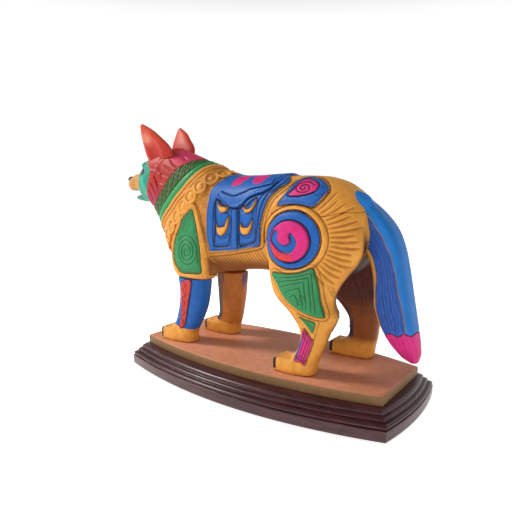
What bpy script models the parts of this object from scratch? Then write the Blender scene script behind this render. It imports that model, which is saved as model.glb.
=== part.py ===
"""Painted coyote figure on a stepped plinth.

Frame: metres, +Z up, z = 0 is the surface that the felt pad rests on. The
animal looks along -X, its tail is at +X and its left side is at -Y. The origin
is on the pad's underside, below the middle of the plinth.

All the design values below are in millimetres; MM turns them into metres.
"""

import math

import bmesh
import bpy
from mathutils import Matrix, Vector

MM = 0.001

# ---------------------------------------------------------------- base sizes
GAP = 0.3                   # clearance between glued neighbours
FELT_THICK = 1.5
PLINTH_LENGTH = 300.0       # corner to corner
PLINTH_WIDTH = 112.0        # corner to corner
PLINTH_SIDE_BOW = 23.0      # the long sides bow out by this much
PLINTH_END_BOW = 6.0
PLINTH_TOP = 24.2
SLAB_TOP = 33.3
SLAB_INSET_END = 10.9
SLAB_INSET_SIDE = 15.3
SLAB_SIDE_BOW = 18.5
SCREW_R = 2.0
SCREW_HEAD_R = 4.0

# ------------------------------------------------------------- figure sizes
PANEL = 1.8                 # thickness of a panel glued on the body
BLANKET = 2.4               # thickness of the saddle blanket
HOOD = 2.8
SCARF = 2.4
COLLAR = 2.8

# Body skin, rump to muzzle: top point (x, z), bottom point (x, z), half width,
# roundness (2 is an ellipse, more is squarer).
BODY = [
    (107, 163, 106, 149, 9, 2.0),
    (103, 175, 102, 137, 18, 2.1),
    (96, 186, 96, 127, 25, 2.2),
    (84, 195.5, 86, 119, 30, 2.3),
    (68, 201.5, 70, 115, 32.5, 2.4),
    (45, 203.5, 45, 115, 33, 2.4),
    (15, 202.6, 15, 116, 31.5, 2.4),
    (-15, 201, -17, 114.5, 31, 2.4),
    (-36, 201.5, -44, 110, 32, 2.4),
    (-50, 205, -68, 106, 32.5, 2.4),
    (-64, 210, -96, 103.5, 32.5, 2.5),
    (-76, 214.5, -118, 115, 30, 2.5),
    (-86, 217.5, -128, 134, 27, 2.4),
    (-96, 221, -136, 150, 25, 2.3),
    (-106, 224.5, -145, 163, 23.5, 2.2),
    (-117, 227.5, -154, 172.5, 22, 2.2),
]
HEAD = [
    (-117.4, 227.7, -154.4, 172.7, 22, 2.2),
    (-127, 228.5, -160, 174, 21.5, 2.2),
    (-140, 227, -166, 175.5, 20.5, 2.2),
    (-153, 222, -171, 178, 18, 2.2),
    (-165, 214, -175.5, 182.5, 14, 2.2),
    (-176, 207, -179.5, 185.5, 10.5, 2.3),
    (-187, 204, -189, 187, 8.8, 2.4),
    (-194.5, 201, -195.5, 188.5, 6.5, 2.2),
]
# Shoulder, by level: z, front x, rear x, middle y (left side), half width
SHOULDER = [
    (104, -99, -55, -26.0, 12.5),
    (112, -103, -52, -25.5, 13.5),
    (132, -106, -53, -24.0, 14.0),
    (152, -102, -56, -21.5, 13.5),
    (170, -93, -61, -18.5, 12.5),
    (186, -84, -66, -15.0, 10.5),
]
# Legs by level: z, front x, rear x, front y, rear y, half width, roundness.
# y is for the left side; the right legs change its sign.
LEFT_FORELEG = [
    (103.7, -96, -58.5, -27, -27, 12.5, 2.6),
    (91, -94.5, -60, -27, -27, 12.2, 2.6),
    (78, -95.5, -63, -27, -27, 11.8, 2.6),
    (64, -99, -68, -27.5, -27.5, 11.3, 2.6),
    (54, -103, -73.5, -28, -28, 11.0, 2.6),
    (47.5, -109, -77, -28.5, -28, 11.2, 2.6),
    (43, -117, -79, -29, -28, 11.6, 2.8),
    (37, -120, -79.5, -29.5, -28, 11.8, 3.0),
    (33.6, -118.5, -79, -29.5, -28, 11.2, 3.0),
]
RIGHT_FORELEG = [
    (103.7, -86, -49, -21, -21, 12.5, 2.6),
    (91, -84.5, -50, -20.5, -20.5, 12.0, 2.6),
    (78, -83.5, -51, -20, -20, 11.5, 2.6),
    (64, -83, -53.5, -20, -20, 11.0, 2.6),
    (54, -84, -55.5, -20, -20, 10.8, 2.6),
    (47.5, -90, -57.5, -20, -20, 11.0, 2.6),
    (43, -98, -59, -20, -20, 11.4, 2.8),
    (37, -102, -60, -20, -20, 11.6, 3.0),
    (33.6, -100.5, -60, -20, -20, 11.0, 3.0),
]
LEFT_HIND_LEG = [
    (178.5, 44, 66, -20, -17, 6.0, 2.0),
    (174, 30, 84, -25, -17, 11.0, 2.2),
    (163, 21, 100, -27.5, -18, 13.5, 2.3),
    (150, 19, 105.5, -29, -19, 14.5, 2.4),
    (137, 19.5, 104.5, -30, -21, 14.0, 2.4),
    (124, 21, 95.5, -31, -24, 13.0, 2.4),
    (113, 23.5, 89, -32, -27, 12.0, 2.4),
    (104, 27.5, 86, -33, -29, 11.5, 2.4),
    (97, 34, 87.5, -33, -30, 11.2, 2.5),
    (90, 43, 91, -33, -31, 10.8, 2.5),
    (83, 50, 89, -33, -31.5, 10.5, 2.5),
    (74, 56.5, 84.5, -33, -32, 10.2, 2.6),
    (64, 57, 81, -33, -32.5, 10.0, 2.6),
    (54, 53.5, 77.5, -33, -33, 10.2, 2.6),
    (48.5, 48, 75, -33.5, -33, 10.6, 2.6),
    (43.5, 38, 73, -34.5, -33, 11.4, 2.8),
    (37, 33, 72, -35, -33, 11.8, 3.0),
    (33.6, 34, 71.5, -35, -33, 11.2, 3.0),
]
RIGHT_HIND_LEG = [
    (178.5, 44, 66, -20, -17, 6.0, 2.0),
    (174, 30, 84, -25, -17, 11.0, 2.2),
    (163, 21, 100, -27.5, -18, 13.5, 2.3),
    (150, 19, 105.5, -29, -19, 14.5, 2.4),
    (137, 21, 105, -30, -21, 14.0, 2.4),
    (124, 25, 101, -31, -24, 13.0, 2.4),
    (113, 30, 98, -32.5, -27, 12.2, 2.4),
    (104, 36.5, 97, -34, -30, 11.8, 2.4),
    (97, 45, 99.5, -34.5, -32, 11.5, 2.5),
    (90, 54.5, 103.5, -35, -34, 11.2, 2.5),
    (83, 62, 103.5, -35.5, -35, 11.0, 2.5),
    (74, 69, 101, -36, -36, 10.8, 2.6),
    (64, 70, 99.5, -36.5, -36.5, 10.6, 2.6),
    (54, 69.5, 98.5, -37, -37, 10.6, 2.6),
    (48.5, 65, 97.5, -37, -37, 11.0, 2.6),
    (43.5, 56, 96.5, -36.5, -37, 11.6, 2.8),
    (37, 52, 96, -36, -37, 12.0, 3.0),
    (33.6, 53, 95.5, -36, -37, 11.4, 3.0),
]
# Tail: outer (rear) edge x, z, inner edge x, z, half width at the outer edge
# and at the inner edge, roundness
TAIL = [
    (80, 195.5, 77, 172, 8.5, 7.5, 3.0),
    (91, 190.5, 84, 161, 10.5, 8.0, 3.2),
    (102, 183, 90, 152.5, 12.0, 8.5, 3.4),
    (113.5, 174, 98, 144, 13.0, 8.5, 3.5),
    (124.5, 161.5, 104.5, 133, 14.0, 8.5, 3.6),
    (131.5, 147, 108, 121.5, 14.0, 8.5, 3.6),
    (136.5, 130, 109.5, 110, 14.0, 8.5, 3.6),
    (141, 111, 110, 98, 14.0, 8.0, 3.6),
    (145.5, 92, 115, 84, 13.6, 7.5, 3.6),
    (149.5, 76, 123, 70, 12.8, 7.0, 3.4),
    (152, 65.5, 131.5, 60.5, 11.0, 6.0, 3.0),
    (153, 58, 139.5, 54, 8.0, 4.5, 2.6),
    (152, 52.5, 146, 51, 4.0, 2.5, 2.2),
]
TAIL_TIP_FROM = 9           # index of the station where the tip piece starts


# ------------------------------------------------------------ model helpers
for ob in list(bpy.data.objects):
    bpy.data.objects.remove(ob, do_unlink=True)

PARTS = bpy.data.collections.new("painted_coyote_figure")
CUTTERS = bpy.data.collections.new("cutters")
bpy.context.scene.collection.children.link(PARTS)
bpy.context.scene.collection.children.link(CUTTERS)

MATERIALS = {}


def material(name, rgb, rough=0.45, metal=0.0):
    if name not in MATERIALS:
        mat = bpy.data.materials.new(name)
        mat.use_nodes = True
        node = mat.node_tree.nodes["Principled BSDF"]
        node.inputs["Base Color"].default_value = (*rgb, 1.0)
        node.inputs["Roughness"].default_value = rough
        node.inputs["Metallic"].default_value = metal
        mat.diffuse_color = (*rgb, 1.0)
        MATERIALS[name] = mat
    return MATERIALS[name]


GOLD = material("gold_paint", (0.72, 0.36, 0.06))
BLUE = material("blue_paint", (0.03, 0.16, 0.45))
SKY = material("light_blue_paint", (0.05, 0.26, 0.58))
MAGENTA = material("magenta_paint", (0.60, 0.03, 0.18))
GREEN = material("green_paint", (0.04, 0.28, 0.12))
RED = material("red_paint", (0.48, 0.04, 0.03))
TEAL = material("teal_paint", (0.03, 0.24, 0.17))
BLACK = material("black_paint", (0.015, 0.015, 0.015), 0.35)
MAHOGANY = material("mahogany_stain", (0.08, 0.025, 0.022), 0.30)
EARTH = material("earth_paint", (0.33, 0.16, 0.09), 0.55)
FELT = material("felt", (0.02, 0.05, 0.03), 0.95)
STEEL = material("zinc_steel", (0.6, 0.6, 0.58), 0.35, 1.0)
WOOD = material("beech", (0.55, 0.38, 0.2), 0.6)


def solid(name, bm, collection, mat=None):
    bmesh.ops.recalc_face_normals(bm, faces=bm.faces[:])
    mesh = bpy.data.meshes.new(name)
    bm.to_mesh(mesh)
    bm.free()
    ob = bpy.data.objects.new(name, mesh)
    collection.objects.link(ob)
    if mat:
        mesh.materials.append(mat)
    if collection is CUTTERS:
        ob.hide_render = True
        ob.display_type = "WIRE"
    return ob


def signed_power(value, power):
    return math.copysign(abs(value) ** power, value)


def section(p1, p2, w, round_n, grow, count, taper=1.0):
    """Points of a superellipse whose long axis runs from p1 to p2 and whose
    half width is the vector w, all grown outwards by grow. taper is the
    width's share at p2 of that at p1."""
    centre = (p1 + p2) / 2
    u = (p1 - p2) / 2
    u = u * (1 + grow / u.length)
    points = []
    for i in range(count):
        a = 2 * math.pi * (i + 0.5) / count
        along = signed_power(math.cos(a), 2 / round_n)
        share = 1 + (taper - 1) * (1 - along) / 2
        points.append(centre + u * along
                      + w * (share + grow / w.length) * signed_power(math.sin(a), 2 / round_n))
    return points


def loft(name, stations, collection, mat=None, grow=0.0, count=24):
    """A closed skin through unlike superellipse sections."""
    rings = [section(*st[:4], grow, count, *st[4:]) for st in stations]
    if grow:
        for i, j in ((0, 1), (-1, -2)):
            a = (stations[i][0] + stations[i][1]) / 2
            b = (stations[j][0] + stations[j][1]) / 2
            shift = (a - b).normalized() * grow
            rings[i] = [p + shift for p in rings[i]]
    bm = bmesh.new()
    rows = [[bm.verts.new(p * MM) for p in ring] for ring in rings]
    for low, high in zip(rows, rows[1:]):
        for k in range(count):
            bm.faces.new((low[k], low[(k + 1) % count], high[(k + 1) % count], high[k]))
    bm.faces.new(rows[0])
    bm.faces.new(rows[-1])
    return solid(name, bm, collection, mat)


def spine(table):
    """Stations across the middle plane of the animal."""
    return [(Vector((a, 0, b)), Vector((c, 0, d)), Vector((0, hw, 0)), n)
            for a, b, c, d, hw, n in table]


def leg(table, side):
    """Level stations of a leg. side is -1 on the left, +1 on the right."""
    stations = []
    for z, front, rear, yf, yr, hw, n in table:
        p1 = Vector((front, side * abs(yf), z))
        p2 = Vector((rear, side * abs(yr), z))
        w = (p1 - p2).cross(Vector((0, 0, 1))).normalized() * hw
        stations.append((p1, p2, w, n))
    return stations


def prism(name, outline, y0, y1, collection=None, mat=None):
    """A flat outline in the side view (x, z), extruded from y0 to y1."""
    bm = bmesh.new()
    face = bm.faces.new([bm.verts.new(Vector((x, y0, z)) * MM) for x, z in outline])
    grown = bmesh.ops.extrude_face_region(bm, geom=[face])
    verts = [g for g in grown["geom"] if isinstance(g, bmesh.types.BMVert)]
    bmesh.ops.translate(bm, verts=verts, vec=Vector((0, y1 - y0, 0)) * MM)
    return solid(name, bm, collection or CUTTERS, mat)


def cylinder(name, x, y, z0, z1, r, collection, mat=None, sides=16, r_top=None):
    bm = bmesh.new()
    bmesh.ops.create_cone(bm, cap_ends=True, segments=sides, radius1=r * MM,
                          radius2=(r if r_top is None else r_top) * MM, depth=(z1 - z0) * MM,
                          matrix=Matrix.Translation(Vector((x, y, (z0 + z1) / 2)) * MM))
    return solid(name, bm, collection, mat)


def ball(name, centre, radii, collection, mat=None, u=12, v=8, tilt=None):
    bm = bmesh.new()
    bmesh.ops.create_uvsphere(bm, u_segments=u, v_segments=v, radius=1.0)
    m = Matrix.Translation(Vector(centre) * MM) @ (tilt or Matrix.Identity(4)) @ Matrix.Diagonal((*[r * MM for r in radii], 1))
    bmesh.ops.transform(bm, matrix=m, verts=bm.verts[:])
    return solid(name, bm, collection, mat)


def boolean(ob, cutter, operation, keep=False):
    """Applies a Boolean to ob's mesh."""
    mod = ob.modifiers.new("cut", "BOOLEAN")
    mod.operation = operation
    mod.solver = "EXACT"
    mod.object = cutter
    graph = bpy.context.evaluated_depsgraph_get()
    mesh = bpy.data.meshes.new_from_object(ob.evaluated_get(graph))
    ob.modifiers.clear()
    mats = [m for m in ob.data.materials]
    ob.data = mesh
    mesh.materials.clear()
    for m in mats[:1]:
        mesh.materials.append(m)
    if not keep:
        bpy.data.objects.remove(cutter, do_unlink=True)
    return ob


def clean(ob, limit=0.02):
    """Merges slivers that a cut leaves, dissolves flat seams."""
    bm = bmesh.new()
    bm.from_mesh(ob.data)
    bmesh.ops.remove_doubles(bm, verts=bm.verts[:], dist=limit * MM)
    bmesh.ops.dissolve_limit(bm, angle_limit=math.radians(1.0), verts=bm.verts[:], edges=bm.edges[:])
    bmesh.ops.recalc_face_normals(bm, faces=bm.faces[:])
    bm.to_mesh(ob.data)
    bm.free()
    return ob


def mirrored(ob, name, mat):
    """The same piece on the animal's right side."""
    mesh = ob.data.copy()
    mesh.transform(Matrix.Diagonal((1, -1, 1, 1)))
    mesh.flip_normals()
    twin = bpy.data.objects.new(name, mesh)
    mesh.materials.clear()
    mesh.materials.append(mat)
    PARTS.objects.link(twin)
    return twin


def panel(name, skin, outline, low, high, mat, y0=-70.0, y1=0.0, count=24):
    """A sheet of even thickness lying on a skin, cut to a side-view outline.
    low and high are its inner and outer distance from the skin."""
    ob = prism(name, outline, y0, y1, PARTS, mat)
    boolean(ob, loft("outer", skin, CUTTERS, grow=high, count=count), "INTERSECT")
    boolean(ob, loft("inner", skin, CUTTERS, grow=low, count=count), "DIFFERENCE")
    return ob


def disc(cx, cz, rx, rz, count=24):
    return [(cx + rx * math.cos(2 * math.pi * i / count), cz + rz * math.sin(2 * math.pi * i / count))
            for i in range(count)]


def smooth_outline(points, per=3):
    """A closed Catmull-Rom curve through the points."""
    out = []
    n = len(points)
    for i in range(n):
        p0, p1, p2, p3 = (Vector((*points[(i + k) % n], 0)) for k in (-1, 0, 1, 2))
        for s in range(per):
            t = s / per
            q = 0.5 * ((2 * p1) + (p2 - p0) * t + (2 * p0 - 5 * p1 + 4 * p2 - p3) * t * t
                       + (3 * p1 - p0 - 3 * p2 + p3) * t ** 3)
            out.append((q.x, q.y))
    return out


def crescent(left, bottom, right, thick, count=6):
    """A horned moon through its left tip, lowest point and right tip."""
    l, b, r = (Vector(p) for p in (left, bottom, right))
    ctrl = 2 * b - (l + r) / 2
    inner = ctrl + Vector((0, 2 * thick))

    def arc(mid, t):
        return l * (1 - t) ** 2 + mid * 2 * t * (1 - t) + r * t * t
    down = [arc(ctrl, i / count) for i in range(count + 1)]
    back = [arc(inner, i / count) for i in range(count - 1, 0, -1)]
    return [(p.x, p.y) for p in down + back]


# ---------------------------------------------------------------- the base
def plan(inset_end, inset_side, side_bow, end_bow, per=10):
    """Plan of the base: a rectangle whose sides bow outwards."""
    hx = PLINTH_LENGTH / 2 - inset_end
    hy = PLINTH_WIDTH / 2 - inset_side
    pts = []
    for i in range(per):
        t = -1 + 2 * i / per
        pts.append((t * hx, -(hy + side_bow * (1 - t * t))))
    for i in range(per // 2):
        t = -1 + 2 * i / (per // 2)
        pts.append((hx + end_bow * (1 - t * t), t * hy))
    for i in range(per):
        t = 1 - 2 * i / per
        pts.append((t * hx, hy + side_bow * (1 - t * t)))
    for i in range(per // 2):
        t = 1 - 2 * i / (per // 2)
        pts.append((-(hx + end_bow * (1 - t * t)), t * hy))
    return pts


def stack(name, levels, mat, collection=None):
    """A moulding: plan outlines at rising levels, joined like a loft."""
    bm = bmesh.new()
    rows = []
    for z, outline in levels:
        rows.append([bm.verts.new(Vector((x, y, z)) * MM) for x, y in outline])
    n = len(rows[0])
    for low, high in zip(rows, rows[1:]):
        for k in range(n):
            bm.faces.new((low[k], low[(k + 1) % n], high[(k + 1) % n], high[k]))
    bm.faces.new(rows[0])
    bm.faces.new(rows[-1])
    return solid(name, bm, collection or PARTS, mat)


def inset_plan(d, per=10):
    return plan(d, d, PLINTH_SIDE_BOW, PLINTH_END_BOW, per)


# name, x, y and top of the screw in each paw
SCREWS = [("base_screw_left_fore", -96.0, -28.5, 62.0),
          ("base_screw_right_fore", -76.0, 20.0, 62.0),
          ("base_screw_left_hind", 61.0, -33.5, 62.0),
          ("base_screw_right_hind", 84.0, 36.5, 62.0)]

felt = stack("felt_pad", [(0.0, inset_plan(4.0)), (FELT_THICK, inset_plan(4.0))], FELT)

z0 = FELT_THICK + GAP
plinth = stack("plinth", [
    (z0, inset_plan(0.6)),
    (z0 + 0.8, inset_plan(0.0)),
    (12.2, inset_plan(0.0)),
    (12.7, inset_plan(1.0)),
    (13.6, inset_plan(0.8)),
    (15.0, inset_plan(1.4)),
    (16.0, inset_plan(2.8)),
    (16.6, inset_plan(4.2)),
    (18.2, inset_plan(4.6)),
    (19.4, inset_plan(5.6)),
    (20.0, inset_plan(7.2)),
    (22.2, inset_plan(8.0)),
    (23.4, inset_plan(8.8)),
    (PLINTH_TOP, inset_plan(9.6)),
], MAHOGANY)

slab = stack("ground_slab", [
    (PLINTH_TOP + GAP, plan(SLAB_INSET_END, SLAB_INSET_SIDE, SLAB_SIDE_BOW, 0.4)),
    (SLAB_TOP - 0.8, plan(SLAB_INSET_END, SLAB_INSET_SIDE, SLAB_SIDE_BOW, 0.4)),
    (SLAB_TOP, plan(SLAB_INSET_END + 0.8, SLAB_INSET_SIDE + 0.8, SLAB_SIDE_BOW, 0.4)),
], EARTH)

# ----------------------------------------------------------------- the body
body_skin = spine(BODY)
head_skin = spine(HEAD)
neck_head = spine(BODY[-6:]) + spine(HEAD[1:])
tail_skin = [(Vector((a, 0, b)), Vector((c, 0, d)), Vector((0, wide, 0)), n, narrow / wide)
             for a, b, c, d, wide, narrow, n in TAIL]
left_hind = leg(LEFT_HIND_LEG, -1)
right_hind = leg(RIGHT_HIND_LEG, 1)
left_fore = leg(LEFT_FORELEG, -1)
right_fore = leg(RIGHT_FORELEG, 1)


def shoulder(side):
    stations = []
    for z, front, rear, yc, hw in SHOULDER:
        p1, p2 = Vector((front, side * -yc, z)), Vector((rear, side * -yc, z))
        stations.append((p1, p2, Vector((0, hw, 0)), 2.6))
    return stations


torso = loft("torso", body_skin, PARTS, GOLD)
for side in (-1, 1):
    boolean(torso, loft("shoulder", shoulder(side), CUTTERS), "UNION")

FORE_TENON_R = 6.0
legs = []
for name, stations, side in (("left_foreleg", left_fore, -1), ("right_foreleg", right_fore, 1)):
    limb = loft(name, stations, PARTS, BLUE if side < 0 else GOLD, count=16)
    mid = (stations[0][0] + stations[0][1]) / 2
    tenon = cylinder("tenon", mid.x, mid.y, 98.0, 118.0, FORE_TENON_R, CUTTERS)
    boolean(limb, tenon, "UNION")
    boolean(torso, cylinder("socket", mid.x, mid.y, 95.0, 118.5, FORE_TENON_R + GAP, CUTTERS), "DIFFERENCE")
    legs.append(limb)
for name, stations in (("left_hind_leg", left_hind), ("right_hind_leg", right_hind)):
    limb = loft(name, stations, PARTS, GOLD, count=20)
    legs.append(limb)
    boolean(torso, loft("pocket", stations, CUTTERS, grow=GAP, count=20), "DIFFERENCE")
left_foreleg, right_foreleg, left_hind_leg, right_hind_leg = legs

# ----------------------------------------------------------------- the head
head = loft("head", head_skin, PARTS, TEAL)
boolean(head, loft("neck_end", body_skin, CUTTERS, grow=GAP), "DIFFERENCE")
JAW = [
    (-157, 184, -160, 175.5, 8.5, 2.2),
    (-168, 184, -169, 175, 8.0, 2.2),
    (-178, 183, -178, 175.8, 6.8, 2.2),
    (-185, 181.5, -185, 177, 4.8, 2.2),
    (-189, 180.6, -189, 178.6, 2.0, 2.0),
]
jaw = loft("lower_jaw", spine(JAW), PARTS, TEAL, count=16)
# the mouth is cut open between the jaws
boolean(head, prism("mouth", [(-205, 184.5), (-205, 160), (-172, 160), (-169, 176), (-168, 184), (-171, 186.2), (-178, 186.2)],
                    -40, 40), "DIFFERENCE")
boolean(head, loft("jaw_room", spine(JAW), CUTTERS, grow=GAP, count=16), "DIFFERENCE")
nose_shape = ((-197.0, 0, 198.6), (3.8, 4.8, 3.8))
boolean(head, ball("nose_seat", nose_shape[0], [r + GAP for r in nose_shape[1]], CUTTERS), "DIFFERENCE")
nose = ball("nose", *nose_shape, PARTS, BLACK)
EYE = ((-156.5, 15.6, 207.5), (3.6, 2.2, 2.6))
eyes = []
for name, side in (("left_eye", -1), ("right_eye", 1)):
    centre = (EYE[0][0], side * EYE[0][1], EYE[0][2])
    turn = Matrix.Rotation(side * math.radians(-22.0), 4, "Z")
    boolean(head, ball("eye_socket", centre, [r + GAP for r in EYE[1]], CUTTERS, tilt=turn), "DIFFERENCE")
    eyes.append(ball(name, centre, EYE[1], PARTS, BLACK, tilt=turn))

# Hood: a carved shell over the crown, down to the cheeks, with a point behind
HOOD_LINE = [(-76, 240), (-76, 219.5), (-97, 212.5), (-104, 206), (-113, 196), (-123, 186), (-133, 178),
             (-141, 172.5), (-148, 173.5), (-149.5, 181), (-147.5, 189), (-141, 200), (-139, 208), (-144, 214),
             (-149, 222), (-148, 240)]
hood = panel("hood", neck_head, HOOD_LINE, GAP, HOOD, RED, -60, 60)

EAR = [
    (-145, 214, -112, 222, 5.0, -15.0),
    (-147.5, 222, -113.5, 231, 5.0, -17.5),
    (-148.5, 234, -121.5, 239.5, 4.4, -20.5),
    (-147, 244, -130.5, 247.5, 3.2, -24.0),
    (-145, 252, -141.5, 253.4, 1.4, -26.5),
]
ear_skin = [(Vector((a, y, b)), Vector((c, y, d)), Vector((0, hw, 0)), 2.2) for a, b, c, d, hw, y in EAR]
left_ear = loft("left_ear", ear_skin, PARTS, RED, count=16)
boolean(left_ear, loft("hood_top", neck_head, CUTTERS, grow=HOOD + GAP), "DIFFERENCE")
right_ear = mirrored(left_ear, "right_ear", RED)

# Neck scarf and scalloped collar
SCARF_LINE = [(-76.5 + 1.0, 240), (-75.5, 219), (-96.5, 211.7), (-103.3, 205.2), (-112.3, 195.2), (-122.3, 185.2),
              (-132.5, 177), (-141, 171.5), (-170, 172.5), (-170, 150), (-150, 138), (-127, 147), (-113, 162.4),
              (-101, 177), (-90, 190), (-78, 202), (-66, 211), (-58, 219), (-56, 240)]
scarf = panel("neck_scarf", body_skin, SCARF_LINE, GAP, SCARF, GREEN, -60, 60)
boolean(scarf, loft("head_end", head_skin, CUTTERS, grow=GAP), "DIFFERENCE")

# the collar follows the scarf's rear edge; its scallops point backwards and down
COLLAR_CORD = [(-55, 240), (-57, 219.5), (-65, 211.6), (-77, 201.5), (-89, 189.5), (-100, 176.5), (-112, 162),
               (-126, 146.5), (-160, 128)]


def collar_outline():
    valleys = [(-36, 206), (-62, 194), (-81, 180), (-94, 163), (-107, 148)]
    pts = list(COLLAR_CORD)
    pts += [(-150, 112), (-118, 134)]
    for i in range(len(valleys) - 1, 0, -1):
        a, b = Vector(valleys[i]), Vector(valleys[i - 1])
        mid, chord = (a + b) / 2, b - a
        out = Vector((chord.y, -chord.x)).normalized()
        for t in (0.0, 0.2, 0.5, 0.8):
            bulge = 5.0 * math.sin(math.pi * t) ** 0.6
            p = a + chord * t + out * bulge
            pts.append((p.x, p.y))
    pts += [(-36, 206), (-32, 215), (-32, 240)]
    return pts


collar = panel("scalloped_collar", body_skin, collar_outline(), GAP, COLLAR, GOLD, -60, 60)
for side in (-1, 1):
    boolean(collar, loft("shoulder", shoulder(side), CUTTERS, grow=GAP), "DIFFERENCE")

# Saddle blanket over the back
BLANKET_LINE = [(-30, 240), (-27, 206), (-37, 194), (-45.5, 181.5), (-49.5, 170), (-49.5, 153.5), (-48, 137),
                (-45, 132.5), (-12, 138), (9, 143), (13.5, 157), (15.5, 168.5), (18, 177), (26, 187), (34, 194.5),
                (41, 204), (43, 240)]
blanket = panel("saddle_blanket", body_skin, BLANKET_LINE, GAP, BLANKET, BLUE, -60, 60)
for stations in (left_hind, right_hind):
    boolean(blanket, loft("leg_room", stations, CUTTERS, grow=GAP, count=20), "DIFFERENCE")

# four crescents set on each side of the blanket
CRESCENTS = [("upper_front", (-42.5, 184), (-34.5, 172), (-25, 179.5)),
             ("lower_front", (-42, 163), (-34.5, 150.5), (-25.5, 169)),
             ("upper_rear", (-14.5, 177), (-4, 171.5), (7, 186.5)),
             ("lower_rear", (-15.5, 161), (-7, 151.5), (3, 171))]
for label, tip_l, low, tip_r in CRESCENTS:
    piece = panel("left_crescent_" + label, body_skin, crescent(tip_l, low, tip_r, 4.6),
                  BLANKET + GAP, BLANKET + 1.5, GOLD)
    mirrored(piece, "right_crescent_" + label, GOLD)

# Shoulder panel and its gold frame
PANEL_LINE = [(-70.5, 165), (-82, 159), (-91.5, 149), (-97.5, 136), (-95.5, 125.5), (-86, 113.5), (-61, 112.5),
              (-61.5, 136), (-64.5, 152)]
FRAME_LINE = [(-68.5, 176), (-70, 166), (-64, 152), (-60.5, 136), (-60, 111.7), (-86.5, 112.7), (-96.3, 125),
              (-98.3, 136), (-101.5, 136), (-99.5, 123), (-88.5, 107.2), (-52.5, 106.5), (-54.5, 136), (-59, 155)]
sh_skin = shoulder(-1)
for side in (-1,):
    sp = panel("left_shoulder_panel", sh_skin, PANEL_LINE, GAP, PANEL, GREEN, -70, -20)
    fr = panel("left_shoulder_frame", sh_skin, FRAME_LINE, GAP, PANEL, GOLD, -70, -20)
for ob in (sp, fr):
    boolean(ob, loft("torso_room", body_skin, CUTTERS, grow=GAP), "DIFFERENCE")
mirrored(sp, "right_shoulder_panel", GREEN)
mirrored(fr, "right_shoulder_frame", GOLD)

# Haunch disc with its spiral; the spiral sits on the disc
DISC = (48.5, 151.5, 27.5, 24.5)
SPIRAL = (46.5, 150.5, 20.0, 17.3)
hd = panel("left_haunch_disc", left_hind, disc(*DISC, 28), GAP, PANEL, BLUE, -70, -28, 20)
hs = panel("left_haunch_spiral", left_hind, disc(*SPIRAL, 22), PANEL + GAP, PANEL + 1.5, MAGENTA, -70, -28, 20)
boolean(hd, loft("torso_room", body_skin, CUTTERS, grow=GAP), "DIFFERENCE")

# Rump teardrop and its leaf spiral, on the upper flank
TEAR_LINE = smooth_outline([(28.5, 179.5), (34, 188), (40, 197.5), (48, 202), (62, 200.5), (72, 195), (73, 189),
                            (68, 182), (61, 179.3), (50, 180.5), (40, 180.5)], 2)
LEAF_LINE = smooth_outline([(38.5, 188), (43, 194.5), (50, 199), (60, 198), (64, 193.5), (59, 189.3), (48, 187.5)], 3)
td = panel("left_rump_teardrop", body_skin, TEAR_LINE, GAP, PANEL, BLUE, -60, -7)
ts = panel("left_teardrop_spiral", body_skin, LEAF_LINE, PANEL + GAP, PANEL + 1.4, MAGENTA, -60, -9)
for ob in (td, ts):
    boolean(ob, loft("leg_room", left_hind, CUTTERS, grow=GAP, count=20), "DIFFERENCE")

# Thigh panel, shin triangle, shin panel
THIGH_LINE = [(29, 121.5), (43.5, 123), (56.5, 125), (69.5, 128.5), (73.5, 122), (78, 104.5), (82.5, 91), (76, 90),
              (64.5, 92), (53.5, 96.5), (44, 103), (36, 112)]
SHIN_TRI_LINE = [(59.5, 87), (75, 84), (74, 79), (72.5, 75), (65, 83)]
SHIN_LINE = [(64, 76), (73.5, 68), (71.5, 59.5), (69, 52), (66, 45), (57, 48.5), (58.5, 57), (61, 66.5)]
tp = panel("left_thigh_panel", left_hind, THIGH_LINE, GAP, PANEL, GREEN, -70, -33, 20)
st = panel("left_shin_triangle", left_hind, SHIN_TRI_LINE, GAP, PANEL, GREEN, -70, -33, 20)
sn = panel("left_shin_panel", left_hind, SHIN_LINE, GAP, PANEL, MAGENTA, -70, -33, 20)

# The right side repeats them on the right leg, which stands further back
rd = panel("right_haunch_disc", right_hind, disc(*DISC, 28), GAP, PANEL, BLUE, 28, 75, 20)
boolean(rd, loft("torso_room", body_skin, CUTTERS, grow=GAP), "DIFFERENCE")
panel("right_haunch_spiral", right_hind, disc(*SPIRAL, 22), PANEL + GAP, PANEL + 1.5, MAGENTA, 28, 75, 20)
mirrored(td, "right_rump_teardrop", BLUE)
mirrored(ts, "right_teardrop_spiral", MAGENTA)


THIGH_RIGHT = [(33, 121.5), (47, 123), (60, 125), (73, 128.5), (79, 122), (87, 104.5), (95, 91), (88, 90),
               (75, 92), (62, 96.5), (51, 103), (41, 112)]
SHIN_TRI_RIGHT = [(71, 87), (87, 84), (87.5, 79), (86.5, 75), (78, 83)]
SHIN_RIGHT = [(78, 76), (87.5, 68), (87, 59.5), (86, 52), (84, 45), (75, 48.5), (75, 57), (76, 66.5)]
for label, outline, mat in (("thigh_panel", THIGH_RIGHT, GREEN), ("shin_triangle", SHIN_TRI_RIGHT, GREEN),
                            ("shin_panel", SHIN_RIGHT, MAGENTA)):
    panel("right_" + label, right_hind, outline, GAP, PANEL, mat, 34, 75, 20)

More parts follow.
